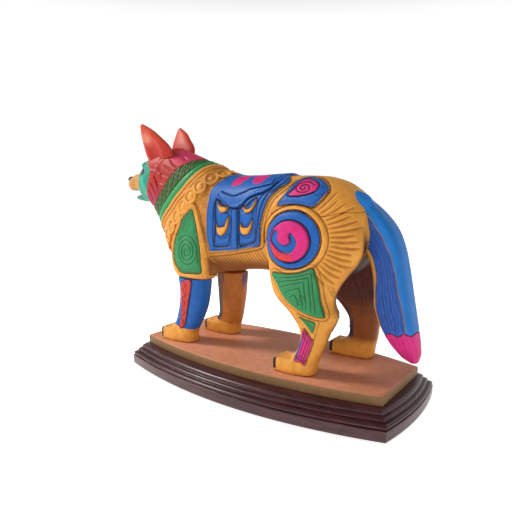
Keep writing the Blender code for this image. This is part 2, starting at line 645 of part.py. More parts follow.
# Foreleg strips down the front outer corner of each foreleg
STRIP_LEFT = [(-85.5, 99), (-84, 101.5), (-78, 102.5), (-73, 101.5), (-71.5, 97), (-74.5, 85), (-78, 73), (-81, 61.5),
              (-84.5, 52.5), (-91, 50), (-89, 60), (-87.5, 73.5), (-87, 87)]
STRIP_RIGHT = [(-74.5, 99), (-73, 101.5), (-67.5, 102.5), (-63, 101.5), (-62, 97), (-63, 85), (-64.5, 73), (-65.5, 61.5),
               (-67.5, 52.5), (-74, 50), (-74, 60), (-74.5, 73.5), (-75, 87)]
panel("left_foreleg_strip", left_fore, STRIP_LEFT, GAP, 1.5, RED, -70, -29, 16)
panel("right_foreleg_strip", right_fore, STRIP_RIGHT, GAP, 1.5, RED, 22, 70, 16)

# ----------------------------------------------------------------- the tail
TAIL_SHELL = 2.0
tail_core_skin = tail_skin[:TAIL_TIP_FROM + 1]
tail = loft("tail_core", tail_core_skin, PARTS, GOLD, grow=-TAIL_SHELL, count=20)
boolean(tail, loft("torso_end", body_skin, CUTTERS, grow=GAP), "DIFFERENCE")
for stations in (left_hind, right_hind):
    boolean(tail, loft("leg_room", stations, CUTTERS, grow=GAP, count=20), "DIFFERENCE")

tip = loft("tail_tip", tail_skin[TAIL_TIP_FROM:], PARTS, MAGENTA, grow=0.0, count=20)
boolean(tip, loft("core_end", tail_core_skin, CUTTERS, grow=-TAIL_SHELL + GAP, count=20), "DIFFERENCE")


def tail_line(fractions):
    """Side-view outline between two shares of the tail's depth (0 = outer
    edge, 1 = inner edge), from the root to the tip piece."""
    lo, hi = fractions
    fwd, back = [], []
    for a, b, c, d, *_ in TAIL[:TAIL_TIP_FROM + 1]:
        o, i = Vector((a, b)), Vector((c, d))
        fwd.append(tuple(o + (i - o) * lo))
        back.append(tuple(o + (i - o) * hi))
    return fwd + back[::-1]


strip = panel("tail_top_strip", tail_core_skin, tail_line((-0.12, 0.15)), -TAIL_SHELL + GAP, 0.0, SKY, -40, 40, 20)
side_l = panel("left_tail_panel", tail_core_skin, tail_line((0.175, 0.86)), -TAIL_SHELL + GAP, 0.0, BLUE, -40, -1.5, 20)
for ob in (strip, side_l):
    boolean(ob, loft("torso_end", body_skin, CUTTERS, grow=GAP), "DIFFERENCE")
    for stations in (left_hind, right_hind):
        boolean(ob, loft("leg_room", stations, CUTTERS, grow=GAP, count=20), "DIFFERENCE")
mirrored(side_l, "right_tail_panel", BLUE)
for ob in (strip,):
    boolean(ob, loft("tip_room", tail_skin[TAIL_TIP_FROM:], CUTTERS, grow=GAP, count=20), "DIFFERENCE")

# ------------------------------------------------------- dowels and screws
def rod(name, a, b, r, collection, mat=None, sides=16):
    """A round rod from a to b."""
    a, b = Vector(a), Vector(b)
    axis = b - a
    turn = axis.to_track_quat("Z", "Y").to_matrix().to_4x4()
    bm = bmesh.new()
    bmesh.ops.create_cone(bm, cap_ends=True, segments=sides, radius1=r * MM, radius2=r * MM,
                          depth=axis.length * MM, matrix=Matrix.Translation((a + b) / 2 * MM) @ turn)
    return solid(name, bm, collection, mat)


NECK_DOWEL = ((-112, 0, 182), (-152, 0, 206), 5.0)
TAIL_DOWEL = ((80, 0, 166), (106, 0, 160), 4.0)
for name, (a, b, r), hosts in (("neck_dowel", NECK_DOWEL, (torso, head)), ("tail_dowel", TAIL_DOWEL, (torso, tail))):
    axis = (Vector(b) - Vector(a)).normalized() * GAP
    for host in hosts:
        boolean(host, rod("hole", Vector(a) - axis, Vector(b) + axis, r + GAP, CUTTERS), "DIFFERENCE")
    rod(name, a, b, r, PARTS, WOOD)

for name, x, y, top in SCREWS:
    # a countersunk screw: cone head, then the shank
    profile = [(SCREW_HEAD_R, z0 + 1.0), (SCREW_HEAD_R, z0 + 1.6), (SCREW_R, z0 + 4.0),
               (SCREW_R, top - 3.0), (0.4, top)]
    bm = bmesh.new()
    rings = []
    for r, z in profile:
        rings.append([bm.verts.new(Vector((x + r * math.cos(2 * math.pi * k / 12),
                                           y + r * math.sin(2 * math.pi * k / 12), z)) * MM) for k in range(12)])
    for low, high in zip(rings, rings[1:]):
        for k in range(12):
            bm.faces.new((low[k], low[(k + 1) % 12], high[(k + 1) % 12], high[k]))
    bm.faces.new(rings[0])
    bm.faces.new(rings[-1])
    solid(name, bm, PARTS, STEEL)
    limb = {"left_fore": left_foreleg, "right_fore": right_foreleg, "left_hind": left_hind_leg,
            "right_hind": right_hind_leg}[name[len("base_screw_"):]]
    head_hole = (x, y, z0 - 1.0, z0 + 4.5, SCREW_HEAD_R + GAP)
    for host in (plinth, slab, limb):
        boolean(host, cylinder("hole", x, y, z0 - 1.0, top + GAP, SCREW_R + GAP, CUTTERS, sides=12), "DIFFERENCE")
    boolean(plinth, cylinder("countersink", *head_hole, CUTTERS, sides=12), "DIFFERENCE")

for ob in PARTS.objects:
    clean(ob)
    ob.data.shade_smooth()
    ob.data.set_sharp_from_angle(angle=math.radians(35.0))
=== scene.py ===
"""Painted coyote figure on a stepped plinth: the finished look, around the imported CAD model.

Lengths below are millimetres; they turn into metres when a mesh is made.
Axes: the animal looks along -X, its left side is at -Y, Z is up.
"""
import math

import bpy
import numpy as np
import openvdb as vdb
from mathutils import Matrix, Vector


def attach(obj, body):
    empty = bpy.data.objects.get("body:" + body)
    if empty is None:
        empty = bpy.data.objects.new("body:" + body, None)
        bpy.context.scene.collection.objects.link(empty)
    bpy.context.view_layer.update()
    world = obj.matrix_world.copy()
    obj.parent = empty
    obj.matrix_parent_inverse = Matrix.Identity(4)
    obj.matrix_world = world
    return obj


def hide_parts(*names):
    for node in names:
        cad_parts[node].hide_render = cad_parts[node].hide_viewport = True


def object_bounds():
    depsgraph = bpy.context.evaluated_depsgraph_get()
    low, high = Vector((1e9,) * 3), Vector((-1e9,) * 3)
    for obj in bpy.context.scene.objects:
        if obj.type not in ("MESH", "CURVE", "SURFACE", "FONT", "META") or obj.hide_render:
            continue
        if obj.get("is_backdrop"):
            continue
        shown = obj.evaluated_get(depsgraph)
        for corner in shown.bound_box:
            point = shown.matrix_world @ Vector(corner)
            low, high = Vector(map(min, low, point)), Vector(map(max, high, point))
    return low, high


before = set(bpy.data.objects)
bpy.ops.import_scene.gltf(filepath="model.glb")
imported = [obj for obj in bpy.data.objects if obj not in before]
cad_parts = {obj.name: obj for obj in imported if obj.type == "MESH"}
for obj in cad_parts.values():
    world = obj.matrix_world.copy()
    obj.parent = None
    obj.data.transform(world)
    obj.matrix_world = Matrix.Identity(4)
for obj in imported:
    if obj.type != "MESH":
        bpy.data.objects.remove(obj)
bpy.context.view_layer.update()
MM = 0.001

GAP = 0.3                   # clearance between glued neighbours
FELT_THICK = 1.5
PLINTH_LENGTH = 300.0       # corner to corner
PLINTH_WIDTH = 112.0        # corner to corner
PLINTH_SIDE_BOW = 23.0      # the long sides bow out by this much
PLINTH_END_BOW = 6.0
PLINTH_TOP = 24.2
SLAB_TOP = 33.3
SLAB_INSET_END = 10.9
SLAB_INSET_SIDE = 15.3
SLAB_SIDE_BOW = 18.5
SCREW_R = 2.0
SCREW_HEAD_R = 4.0

# ------------------------------------------------------------- figure sizes
PANEL = 1.8                 # thickness of a panel glued on the body
BLANKET = 2.4               # thickness of the saddle blanket
HOOD = 2.8
SCARF = 2.4
COLLAR = 2.8
# Body skin, rump to muzzle: top point (x, z), bottom point (x, z), half width,
# roundness (2 is an ellipse, more is squarer).
BODY = [
    (107, 163, 106, 149, 9, 2.0),
    (103, 175, 102, 137, 18, 2.1),
    (96, 186, 96, 127, 25, 2.2),
    (84, 195.5, 86, 119, 30, 2.3),
    (68, 201.5, 70, 115, 32.5, 2.4),
    (45, 203.5, 45, 115, 33, 2.4),
    (15, 202.6, 15, 116, 31.5, 2.4),
    (-15, 201, -17, 114.5, 31, 2.4),
    (-36, 201.5, -44, 110, 32, 2.4),
    (-50, 205, -68, 106, 32.5, 2.4),
    (-64, 210, -96, 103.5, 32.5, 2.5),
    (-76, 214.5, -118, 115, 30, 2.5),
    (-86, 217.5, -128, 134, 27, 2.4),
    (-96, 221, -136, 150, 25, 2.3),
    (-106, 224.5, -145, 163, 23.5, 2.2),
    (-117, 227.5, -154, 172.5, 22, 2.2),
]
HEAD = [
    (-117.4, 227.7, -154.4, 172.7, 22, 2.2),
    (-127, 228.5, -160, 174, 21.5, 2.2),
    (-140, 227, -166, 175.5, 20.5, 2.2),
    (-153, 222, -171, 178, 18, 2.2),
    (-165, 214, -175.5, 182.5, 14, 2.2),
    (-176, 207, -179.5, 185.5, 10.5, 2.3),
    (-187, 204, -189, 187, 8.8, 2.4),
    (-194.5, 201, -195.5, 188.5, 6.5, 2.2),
]
# Shoulder, by level: z, front x, rear x, middle y (left side), half width
SHOULDER = [
    (104, -99, -55, -26.0, 12.5),
    (112, -103, -52, -25.5, 13.5),
    (132, -106, -53, -24.0, 14.0),
    (152, -102, -56, -21.5, 13.5),
    (170, -93, -61, -18.5, 12.5),
    (186, -84, -66, -15.0, 10.5),
]
# Legs by level: z, front x, rear x, front y, rear y, half width, roundness.
# y is for the left side; the right legs change its sign.
LEFT_FORELEG = [
    (103.7, -96, -58.5, -27, -27, 12.5, 2.6),
    (91, -94.5, -60, -27, -27, 12.2, 2.6),
    (78, -95.5, -63, -27, -27, 11.8, 2.6),
    (64, -99, -68, -27.5, -27.5, 11.3, 2.6),
    (54, -103, -73.5, -28, -28, 11.0, 2.6),
    (47.5, -109, -77, -28.5, -28, 11.2, 2.6),
    (43, -117, -79, -29, -28, 11.6, 2.8),
    (37, -120, -79.5, -29.5, -28, 11.8, 3.0),
    (33.6, -118.5, -79, -29.5, -28, 11.2, 3.0),
]
RIGHT_FORELEG = [
    (103.7, -86, -49, -21, -21, 12.5, 2.6),
    (91, -84.5, -50, -20.5, -20.5, 12.0, 2.6),
    (78, -83.5, -51, -20, -20, 11.5, 2.6),
    (64, -83, -53.5, -20, -20, 11.0, 2.6),
    (54, -84, -55.5, -20, -20, 10.8, 2.6),
    (47.5, -90, -57.5, -20, -20, 11.0, 2.6),
    (43, -98, -59, -20, -20, 11.4, 2.8),
    (37, -102, -60, -20, -20, 11.6, 3.0),
    (33.6, -100.5, -60, -20, -20, 11.0, 3.0),
]
LEFT_HIND_LEG = [
    (178.5, 44, 66, -20, -17, 6.0, 2.0),
    (174, 30, 84, -25, -17, 11.0, 2.2),
    (163, 21, 100, -27.5, -18, 13.5, 2.3),
    (150, 19, 105.5, -29, -19, 14.5, 2.4),
    (137, 19.5, 104.5, -30, -21, 14.0, 2.4),
    (124, 21, 95.5, -31, -24, 13.0, 2.4),
    (113, 23.5, 89, -32, -27, 12.0, 2.4),
    (104, 27.5, 86, -33, -29, 11.5, 2.4),
    (97, 34, 87.5, -33, -30, 11.2, 2.5),
    (90, 43, 91, -33, -31, 10.8, 2.5),
    (83, 50, 89, -33, -31.5, 10.5, 2.5),
    (74, 56.5, 84.5, -33, -32, 10.2, 2.6),
    (64, 57, 81, -33, -32.5, 10.0, 2.6),
    (54, 53.5, 77.5, -33, -33, 10.2, 2.6),
    (48.5, 48, 75, -33.5, -33, 10.6, 2.6),
    (43.5, 38, 73, -34.5, -33, 11.4, 2.8),
    (37, 33, 72, -35, -33, 11.8, 3.0),
    (33.6, 34, 71.5, -35, -33, 11.2, 3.0),
]
RIGHT_HIND_LEG = [
    (178.5, 44, 66, -20, -17, 6.0, 2.0),
    (174, 30, 84, -25, -17, 11.0, 2.2),
    (163, 21, 100, -27.5, -18, 13.5, 2.3),
    (150, 19, 105.5, -29, -19, 14.5, 2.4),
    (137, 21, 105, -30, -21, 14.0, 2.4),
    (124, 25, 101, -31, -24, 13.0, 2.4),
    (113, 30, 98, -32.5, -27, 12.2, 2.4),
    (104, 36.5, 97, -34, -30, 11.8, 2.4),
    (97, 45, 99.5, -34.5, -32, 11.5, 2.5),
    (90, 54.5, 103.5, -35, -34, 11.2, 2.5),
    (83, 62, 103.5, -35.5, -35, 11.0, 2.5),
    (74, 69, 101, -36, -36, 10.8, 2.6),
    (64, 70, 99.5, -36.5, -36.5, 10.6, 2.6),
    (54, 69.5, 98.5, -37, -37, 10.6, 2.6),
    (48.5, 65, 97.5, -37, -37, 11.0, 2.6),
    (43.5, 56, 96.5, -36.5, -37, 11.6, 2.8),
    (37, 52, 96, -36, -37, 12.0, 3.0),
    (33.6, 53, 95.5, -36, -37, 11.4, 3.0),
]
# Tail: outer (rear) edge x, z, inner edge x, z, half width at the outer edge
# and at the inner edge, roundness
TAIL = [
    (80, 195.5, 77, 172, 8.5, 7.5, 3.0),
    (91, 190.5, 84, 161, 10.5, 8.0, 3.2),
    (102, 183, 90, 152.5, 12.0, 8.5, 3.4),
    (113.5, 174, 98, 144, 13.0, 8.5, 3.5),
    (124.5, 161.5, 104.5, 133, 14.0, 8.5, 3.6),
    (131.5, 147, 108, 121.5, 14.0, 8.5, 3.6),
    (136.5, 130, 109.5, 110, 14.0, 8.5, 3.6),
    (141, 111, 110, 98, 14.0, 8.0, 3.6),
    (145.5, 92, 115, 84, 13.6, 7.5, 3.6),
    (149.5, 76, 123, 70, 12.8, 7.0, 3.4),
    (152, 65.5, 131.5, 60.5, 11.0, 6.0, 3.0),
    (153, 58, 139.5, 54, 8.0, 4.5, 2.6),
    (152, 52.5, 146, 51, 4.0, 2.5, 2.2),
]
TAIL_TIP_FROM = 9           # index of the station where the tip piece starts
JAW = [
    (-157, 184, -160, 175.5, 8.5, 2.2),
    (-168, 184, -169, 175, 8.0, 2.2),
    (-178, 183, -178, 175.8, 6.8, 2.2),
    (-185, 181.5, -185, 177, 4.8, 2.2),
    (-189, 180.6, -189, 178.6, 2.0, 2.0),
]
EYE = ((-156.5, 15.6, 207.5), (3.6, 2.2, 2.6))
HOOD_LINE = [(-76, 240), (-76, 219.5), (-97, 212.5), (-104, 206), (-113, 196), (-123, 186), (-133, 178),
             (-141, 172.5), (-148, 173.5), (-149.5, 181), (-147.5, 189), (-141, 200), (-139, 208), (-144, 214),
             (-149, 222), (-148, 240)]

EAR = [
    (-145, 214, -112, 222, 5.0, -15.0),
    (-147.5, 222, -113.5, 231, 5.0, -17.5),
    (-148.5, 234, -121.5, 239.5, 4.4, -20.5),
    (-147, 244, -130.5, 247.5, 3.2, -24.0),
    (-145, 252, -141.5, 253.4, 1.4, -26.5),
]

# --------------------------------------------------------------- skins
def spine(table):
    return [((a, 0, b), (c, 0, d), (0, hw, 0), n, 1.0) for a, b, c, d, hw, n in table]


def leg(table, side):
    rows = []
    for z, front, rear, yf, yr, hw, n in table:
        p1 = np.array((front, side * abs(yf), z), float)
        p2 = np.array((rear, side * abs(yr), z), float)
        w = np.cross(p1 - p2, (0, 0, 1))
        rows.append((p1, p2, w / np.linalg.norm(w) * hw, n, 1.0))
    return rows


def shoulder(side):
    return [((f, side * -y, z), (r, side * -y, z), (0, hw, 0), 2.6, 1.0) for z, f, r, y, hw in SHOULDER]


def tail_rows(table):
    return [((a, 0, b), (c, 0, d), (0, wide, 0), n, narrow / wide) for a, b, c, d, wide, narrow, n in table]


def refined(rows, per=6):
    """More stations on a smooth curve through the given ones."""
    a = np.array([[*p1, *p2, *w, n, t] for p1, p2, w, n, t in rows], float)
    centre = (a[:, :3] + a[:, 3:6]) / 2
    step = np.linalg.norm(np.diff(centre, axis=0), axis=1)
    s = np.concatenate([[0], np.cumsum(np.maximum(step, 1e-3))])
    slope = np.zeros_like(a)
    ds, da = np.diff(s)[:, None], np.diff(a, axis=0)
    inner = (da[:-1] / ds[:-1] * ds[1:] + da[1:] / ds[1:] * ds[:-1]) / (ds[:-1] + ds[1:])
    slope[1:-1] = inner
    slope[0], slope[-1] = da[0] / ds[0], da[-1] / ds[-1]
    out = []
    for i in range(len(a) - 1):
        h = s[i + 1] - s[i]
        for k in range(per):
            t = k / per
            out.append((2 * t ** 3 - 3 * t ** 2 + 1) * a[i] + (t ** 3 - 2 * t ** 2 + t) * h * slope[i]
                       + (3 * t ** 2 - 2 * t ** 3) * a[i + 1] + (t ** 3 - t ** 2) * h * slope[i + 1])
    out.append(a[-1])
    return np.array(out)


def skin(rows, per=6, count=96, grow=0.0, cap=True):
    """Closed loft as (points, triangles, quads)."""
    rings = refined(rows, per)
    ang = 2 * np.pi * (np.arange(count) + 0.5) / count
    ca, sa = np.cos(ang), np.sin(ang)
    pts = []
    for r in rings:
        p1, p2, w, n, taper = r[:3], r[3:6], r[6:9], r[9], r[10]
        c, u = (p1 + p2) / 2, (p1 - p2) / 2
        u = u * (1 + grow / np.linalg.norm(u))
        along = np.sign(ca) * np.abs(ca) ** (2 / n)
        across = np.sign(sa) * np.abs(sa) ** (2 / n)
        share = 1 + (taper - 1) * (1 - along) / 2 + grow / np.linalg.norm(w)
        pts.append(c + u * along[:, None] + w * (share * across)[:, None])
    pts = np.concatenate(pts)
    m = len(rings)
    k = np.arange(count)
    quads = np.concatenate([np.stack([i * count + k, i * count + (k + 1) % count,
                                      (i + 1) * count + (k + 1) % count, (i + 1) * count + k], 1) for i in range(m - 1)])
    first, last = len(pts), len(pts) + 1
    pts = np.concatenate([pts, [pts[:count].mean(0)], [pts[-count:].mean(0)]])
    tris = np.concatenate([np.stack([(k + 1) % count, k, np.full(count, first)], 1),
                           np.stack([(m - 1) * count + k, (m - 1) * count + (k + 1) % count, np.full(count, last)], 1)])
    return pts.astype(np.float32), tris.astype(np.uint32), quads.astype(np.uint32)


class Field:
    """A box of cubes that holds distances, in mm."""

    def __init__(self, low, high, v, band=6.0):
        self.v, self.band = v, band
        self.i0 = np.floor(np.array(low, float) / v).astype(int)
        i1 = np.ceil(np.array(high, float) / v).astype(int)
        self.shape = tuple(int(i) for i in i1 - self.i0 + 1)
        self.x, self.y, self.z = ((self.i0[k] + np.arange(self.shape[k])) * v for k in range(3))

    def of(self, mesh):
        pts, tris, quads = mesh
        p, t, q = pts, tris, quads
        v6 = signed_volume(p, t, q)
        if v6 < 0:
            t, q = t[:, ::-1].copy(), q[:, ::-1].copy()
        grid = vdb.FloatGrid.createLevelSetFromPolygons(
            p, triangles=t, quads=q, transform=vdb.createLinearTransform(voxelSize=self.v),
            halfWidth=self.band / self.v)
        a = np.empty(self.shape, np.float32)
        grid.copyToArray(a, ijk=tuple(int(i) for i in self.i0))
        return a

    def xz(self):
        return np.meshgrid(self.x, self.z, indexing="ij")

    def grid(self):
        return self.x[:, None, None], self.y[None, :, None], self.z[None, None, :]

    def ny(self, a):
        """How far the surface faces sideways: -1 to the animal's left, +1 to its right."""
        g = np.zeros_like(a)
        g[:, 1:-1] = (a[:, 2:] - a[:, :-2]) / (2 * self.v)
        return g

    def mesh(self, a, adaptivity=0.0):
        edge = np.float32(self.v)
        a = np.clip(a, -3 * self.v, 3 * self.v).astype(np.float32)
        for k in range(3):
            for end in (0, -1):
                cut = [slice(None)] * 3
                cut[k] = end
                a[tuple(cut)] = np.maximum(a[tuple(cut)], edge)
        a = np.ascontiguousarray(a)
        grid = vdb.FloatGrid(float(3 * self.v))
        grid.copyFromArray(a, ijk=tuple(int(i) for i in self.i0), tolerance=1e-4)
        grid.transform = vdb.createLinearTransform(voxelSize=self.v)
        pts, tris, quads = grid.convertToPolygons(isovalue=0.0, adaptivity=adaptivity)
        if len(pts) and signed_volume(pts, tris, quads) < 0:
            tris, quads = tris[:, ::-1], quads[:, ::-1]
        return pts.astype(float), tris.astype(int).reshape(-1, 3), quads.astype(int).reshape(-1, 4)


def signed_volume(p, t, q):
    vol = 0.0
    p = p.astype(float)
    for f in (np.asarray(t).reshape(-1, 3), np.asarray(q).reshape(-1, 4)[:, :3], np.asarray(q).reshape(-1, 4)[:, [0, 2, 3]]):
        if len(f):
            f = f.astype(int)
            vol += np.einsum("ij,ij->i", p[f[:, 0]], np.cross(p[f[:, 1]], p[f[:, 2]])).sum()
    return vol


def smin(a, b, k):
    h = np.maximum(k - np.abs(a - b), 0) / k
    return np.minimum(a, b) - h * h * k * 0.25


def smax(a, b, k):
    return -smin(-a, -b, k)


def step(t, a, b):
    t = np.clip((t - a) / (b - a), 0, 1)
    return t * t * (3 - 2 * t)


def blur(a, times=1):
    for _ in range(times):
        for k in range(3):
            a = np.moveaxis(a, k, 0)
            b = a.copy()
            b[1:-1] = (a[:-2] + 2 * a[1:-1] + a[2:]) / 4
            a = np.moveaxis(b, 0, k)
    return a


# ------------------------------------------------------------ side drawings
def curve(points, per=5, closed=False):
    """A smooth curve through the points."""
    p = np.array(points, float)
    n = len(p)
    if n < 3:
        return p
    ext = np.concatenate([p[-1:], p, p[:2]]) if closed else np.concatenate([2 * p[:1] - p[1:2], p, 2 * p[-1:] - p[-2:-1]])
    out = []
    for i in range(n if closed else n - 1):
        p0, p1, p2, p3 = ext[i:i + 4]
        for t in np.arange(per) / per:
            out.append(0.5 * (2 * p1 + (p2 - p0) * t + (2 * p0 - 5 * p1 + 4 * p2 - p3) * t * t
                              + (3 * p1 - p0 - 3 * p2 + p3) * t ** 3))
    if not closed:
        out.append(p[-1])
    return np.array(out)


def line_distance(pts, X, Z):
    """Distance to an open line and how far along it, 0 to 1."""
    pts = np.asarray(pts, float)
    seg = np.linalg.norm(np.diff(pts, axis=0), axis=1)
    total = max(seg.sum(), 1e-9)
    best = np.full(X.shape, 1e9)
    along = np.zeros(X.shape)
    run = 0.0
    for (ax, az), (bx, bz), ln in zip(pts[:-1], pts[1:], seg):
        if ln < 1e-9:
            continue
        t = np.clip(((X - ax) * (bx - ax) + (Z - az) * (bz - az)) / ln ** 2, 0, 1)
        d = np.hypot(X - ax - t * (bx - ax), Z - az - t * (bz - az))
        near = d < best
        best = np.where(near, d, best)
        along = np.where(near, (run + t * ln) / total, along)
        run += ln
    return best, along


def inside_distance(outline, X, Z):
    """Signed distance to a closed outline, negative inside."""
    p = np.asarray(outline, float)
    closed = np.concatenate([p, p[:1]])
    d, _ = line_distance(closed, X, Z)
    odd = np.zeros(X.shape, bool)
    for (ax, az), (bx, bz) in zip(closed[:-1], closed[1:]):
        if az == bz:
            continue
        cross = (az > Z) != (bz > Z)
        odd ^= cross & (X < (bx - ax) * (Z - az) / (bz - az) + ax)
    return np.where(odd, -d, d)


class Canvas:
    """Heights and paint seen from one side, at quarter millimetres."""
    R, X0, Z0, NX, NZ = 0.25, -215.0, 28.0, 1520, 936

    def __init__(self):
        self.up = np.zeros((self.NX, self.NZ), np.float32)
        self.down = np.zeros_like(self.up)
        self.wash_and_shade = np.zeros_like(self.up)
        self.rgb = np.zeros((self.NX, self.NZ, 3), np.float32)
        self.alpha = np.zeros_like(self.up)

    def window(self, pts, margin):
        pts = np.asarray(pts, float)
        lo, hi = pts.min(0) - margin, pts.max(0) + margin
        a = np.clip(((lo - (self.X0, self.Z0)) / self.R).astype(int), 0, (self.NX, self.NZ))
        b = np.clip(((hi - (self.X0, self.Z0)) / self.R).astype(int) + 2, 0, (self.NX, self.NZ))
        w = (slice(a[0], b[0]), slice(a[1], b[1]))
        X, Z = np.meshgrid(self.X0 + self.R * np.arange(a[0], b[0]), self.Z0 + self.R * np.arange(a[1], b[1]), indexing="ij")
        return w, X, Z

    def groove(self, pts, width=1.4, depth=0.7, wash_and_shade=1.0, closed=False, taper=0.0, smooth=True, line=1.0):
        pts = curve(pts, 5, closed) if smooth else np.asarray(pts, float)
        if closed:
            pts = np.concatenate([pts, pts[:1]])
        w, X, Z = self.window(pts, width + 1)
        d, u = line_distance(pts, X, Z)
        size = 1 - taper * np.abs(2 * u - 1) ** 3
        f = np.clip(1 - d / (width / 2 * np.maximum(size, 0.05)), 0, 1)
        thin = np.clip(1 - d / (width * line / 2 * np.maximum(size, 0.05)), 0, 1)
        f = f * f * (3 - 2 * f)
        self.down[w] = np.maximum(self.down[w], f * depth * size)
        # each cut leaves a dark wash along its middle, which also paints the shade inside the cut
        self.wash_and_shade[w] = np.maximum(self.wash_and_shade[w], thin * thin * (3 - 2 * thin) * wash_and_shade)

    def ridge(self, pts, width=1.4, height=0.5, closed=False, smooth=True):
        pts = curve(pts, 5, closed) if smooth else np.asarray(pts, float)
        if closed:
            pts = np.concatenate([pts, pts[:1]])
        w, X, Z = self.window(pts, width + 1)
        d, _ = line_distance(pts, X, Z)
        f = np.sqrt(np.clip(1 - (d / (width / 2)) ** 2, 0, 1))
        self.up[w] = np.maximum(self.up[w], f * height)

    def pad(self, outline, height, edge=0.8, smooth=True, crown=0.0):
        """A raised field with rounded borders; a negative height sinks it."""
        pts = curve(outline, 5, True) if smooth else np.asarray(outline, float)
        w, X, Z = self.window(pts, 1)
        sd = inside_distance(pts, X, Z)
        f = np.clip(-sd / edge, 0, 1)
        f = np.sqrt(1 - (1 - f) ** 2)
        lift = f * height + crown * np.clip(-sd / 6, 0, 1)
        if height >= 0:
            self.up[w] = np.maximum(self.up[w], lift)
        else:
            self.down[w] = np.maximum(self.down[w], -lift)

    def paint(self, outline, rgb, smooth=True, edge=0.25, strength=1.0):
        pts = curve(outline, 5, True) if smooth else np.asarray(outline, float)
        w, X, Z = self.window(pts, 1)
        f = np.clip(0.5 - inside_distance(pts, X, Z) / (2 * edge), 0, 1) * strength
        self.rgb[w] = self.rgb[w] * (1 - f[..., None]) + np.array(rgb) * f[..., None]
        self.alpha[w] = self.alpha[w] + (1 - self.alpha[w]) * f

    def stroke(self, pts, rgb, width, closed=False, smooth=True, strength=1.0):
        pts = curve(pts, 5, closed) if smooth else np.asarray(pts, float)
        if closed:
            pts = np.concatenate([pts, pts[:1]])
        w, X, Z = self.window(pts, width + 1)
        d, _ = line_distance(pts, X, Z)
        f = np.clip((width / 2 - d) / 0.5 + 0.5, 0, 1) * strength
        self.rgb[w] = self.rgb[w] * (1 - f[..., None]) + np.array(rgb) * f[..., None]
        self.alpha[w] = self.alpha[w] + (1 - self.alpha[w]) * f

    def read(self, layer, x, z):
        a = getattr(self, layer)
        fx = np.clip((x - self.X0) / self.R, 0, self.NX - 1.001)
        fz = np.clip((z - self.Z0) / self.R, 0, self.NZ - 1.001)
        i, j = fx.astype(int), fz.astype(int)
        u, v = fx - i, fz - j
        if a.ndim == 3:
            u, v = u[..., None], v[..., None]
        return (a[i, j] * (1 - u) * (1 - v) + a[i + 1, j] * u * (1 - v) + a[i, j + 1] * (1 - u) * v
                + a[i + 1, j + 1] * u * v)


LEFT, RIGHT = Canvas(), Canvas()


def relief(field, a, amount=1.0, up=True):
    """The field with both side drawings carved in."""
    ny = field.ny(a)
    X, Z = field.xz()
    for canvas, side in ((LEFT, -1), (RIGHT, 1)):
        h = -canvas.read("down", X, Z)
        if up:
            h = h + canvas.read("up", X, Z)
        w = np.clip((side * ny - 0.12) / 0.4, 0, 1)
        a = a - (h.astype(np.float32) * amount)[:, None, :] * w
    return a


# ------------------------------------------------------------------ colours
def col(r, g, b):
    """A paint colour from its 0 to 255 display values."""
    return tuple((c / 255 / 12.92) if c <= 10 else ((c / 255 + 0.055) / 1.055) ** 2.4 for c in (r, g, b))


C_GOLD = col(226, 154, 62)
C_OCHRE = col(178, 112, 40)
C_BROWN = col(104, 58, 26)
C_DARKBROWN = col(66, 34, 20)
C_BLUE = col(22, 92, 172)
C_NAVY = col(22, 38, 78)
C_SKY = col(24, 114, 192)
C_MAGENTA = col(208, 36, 118)
C_RED = col(206, 58, 48)
C_GREEN = col(48, 136, 82)
C_DEEPGREEN = col(34, 92, 52)
C_TEAL = col(36, 138, 116)
C_TAN = col(190, 134, 70)
C_SALMON = col(226, 104, 66)
C_BLACK = col(16, 14, 15)
C_CLAW = col(34, 26, 24)


def node_at(tree, kind, x, y, **values):
    n = tree.nodes.new(kind)
    n.location = (x, y)
    for key, value in values.items():
        setattr(n, key, value)
    return n


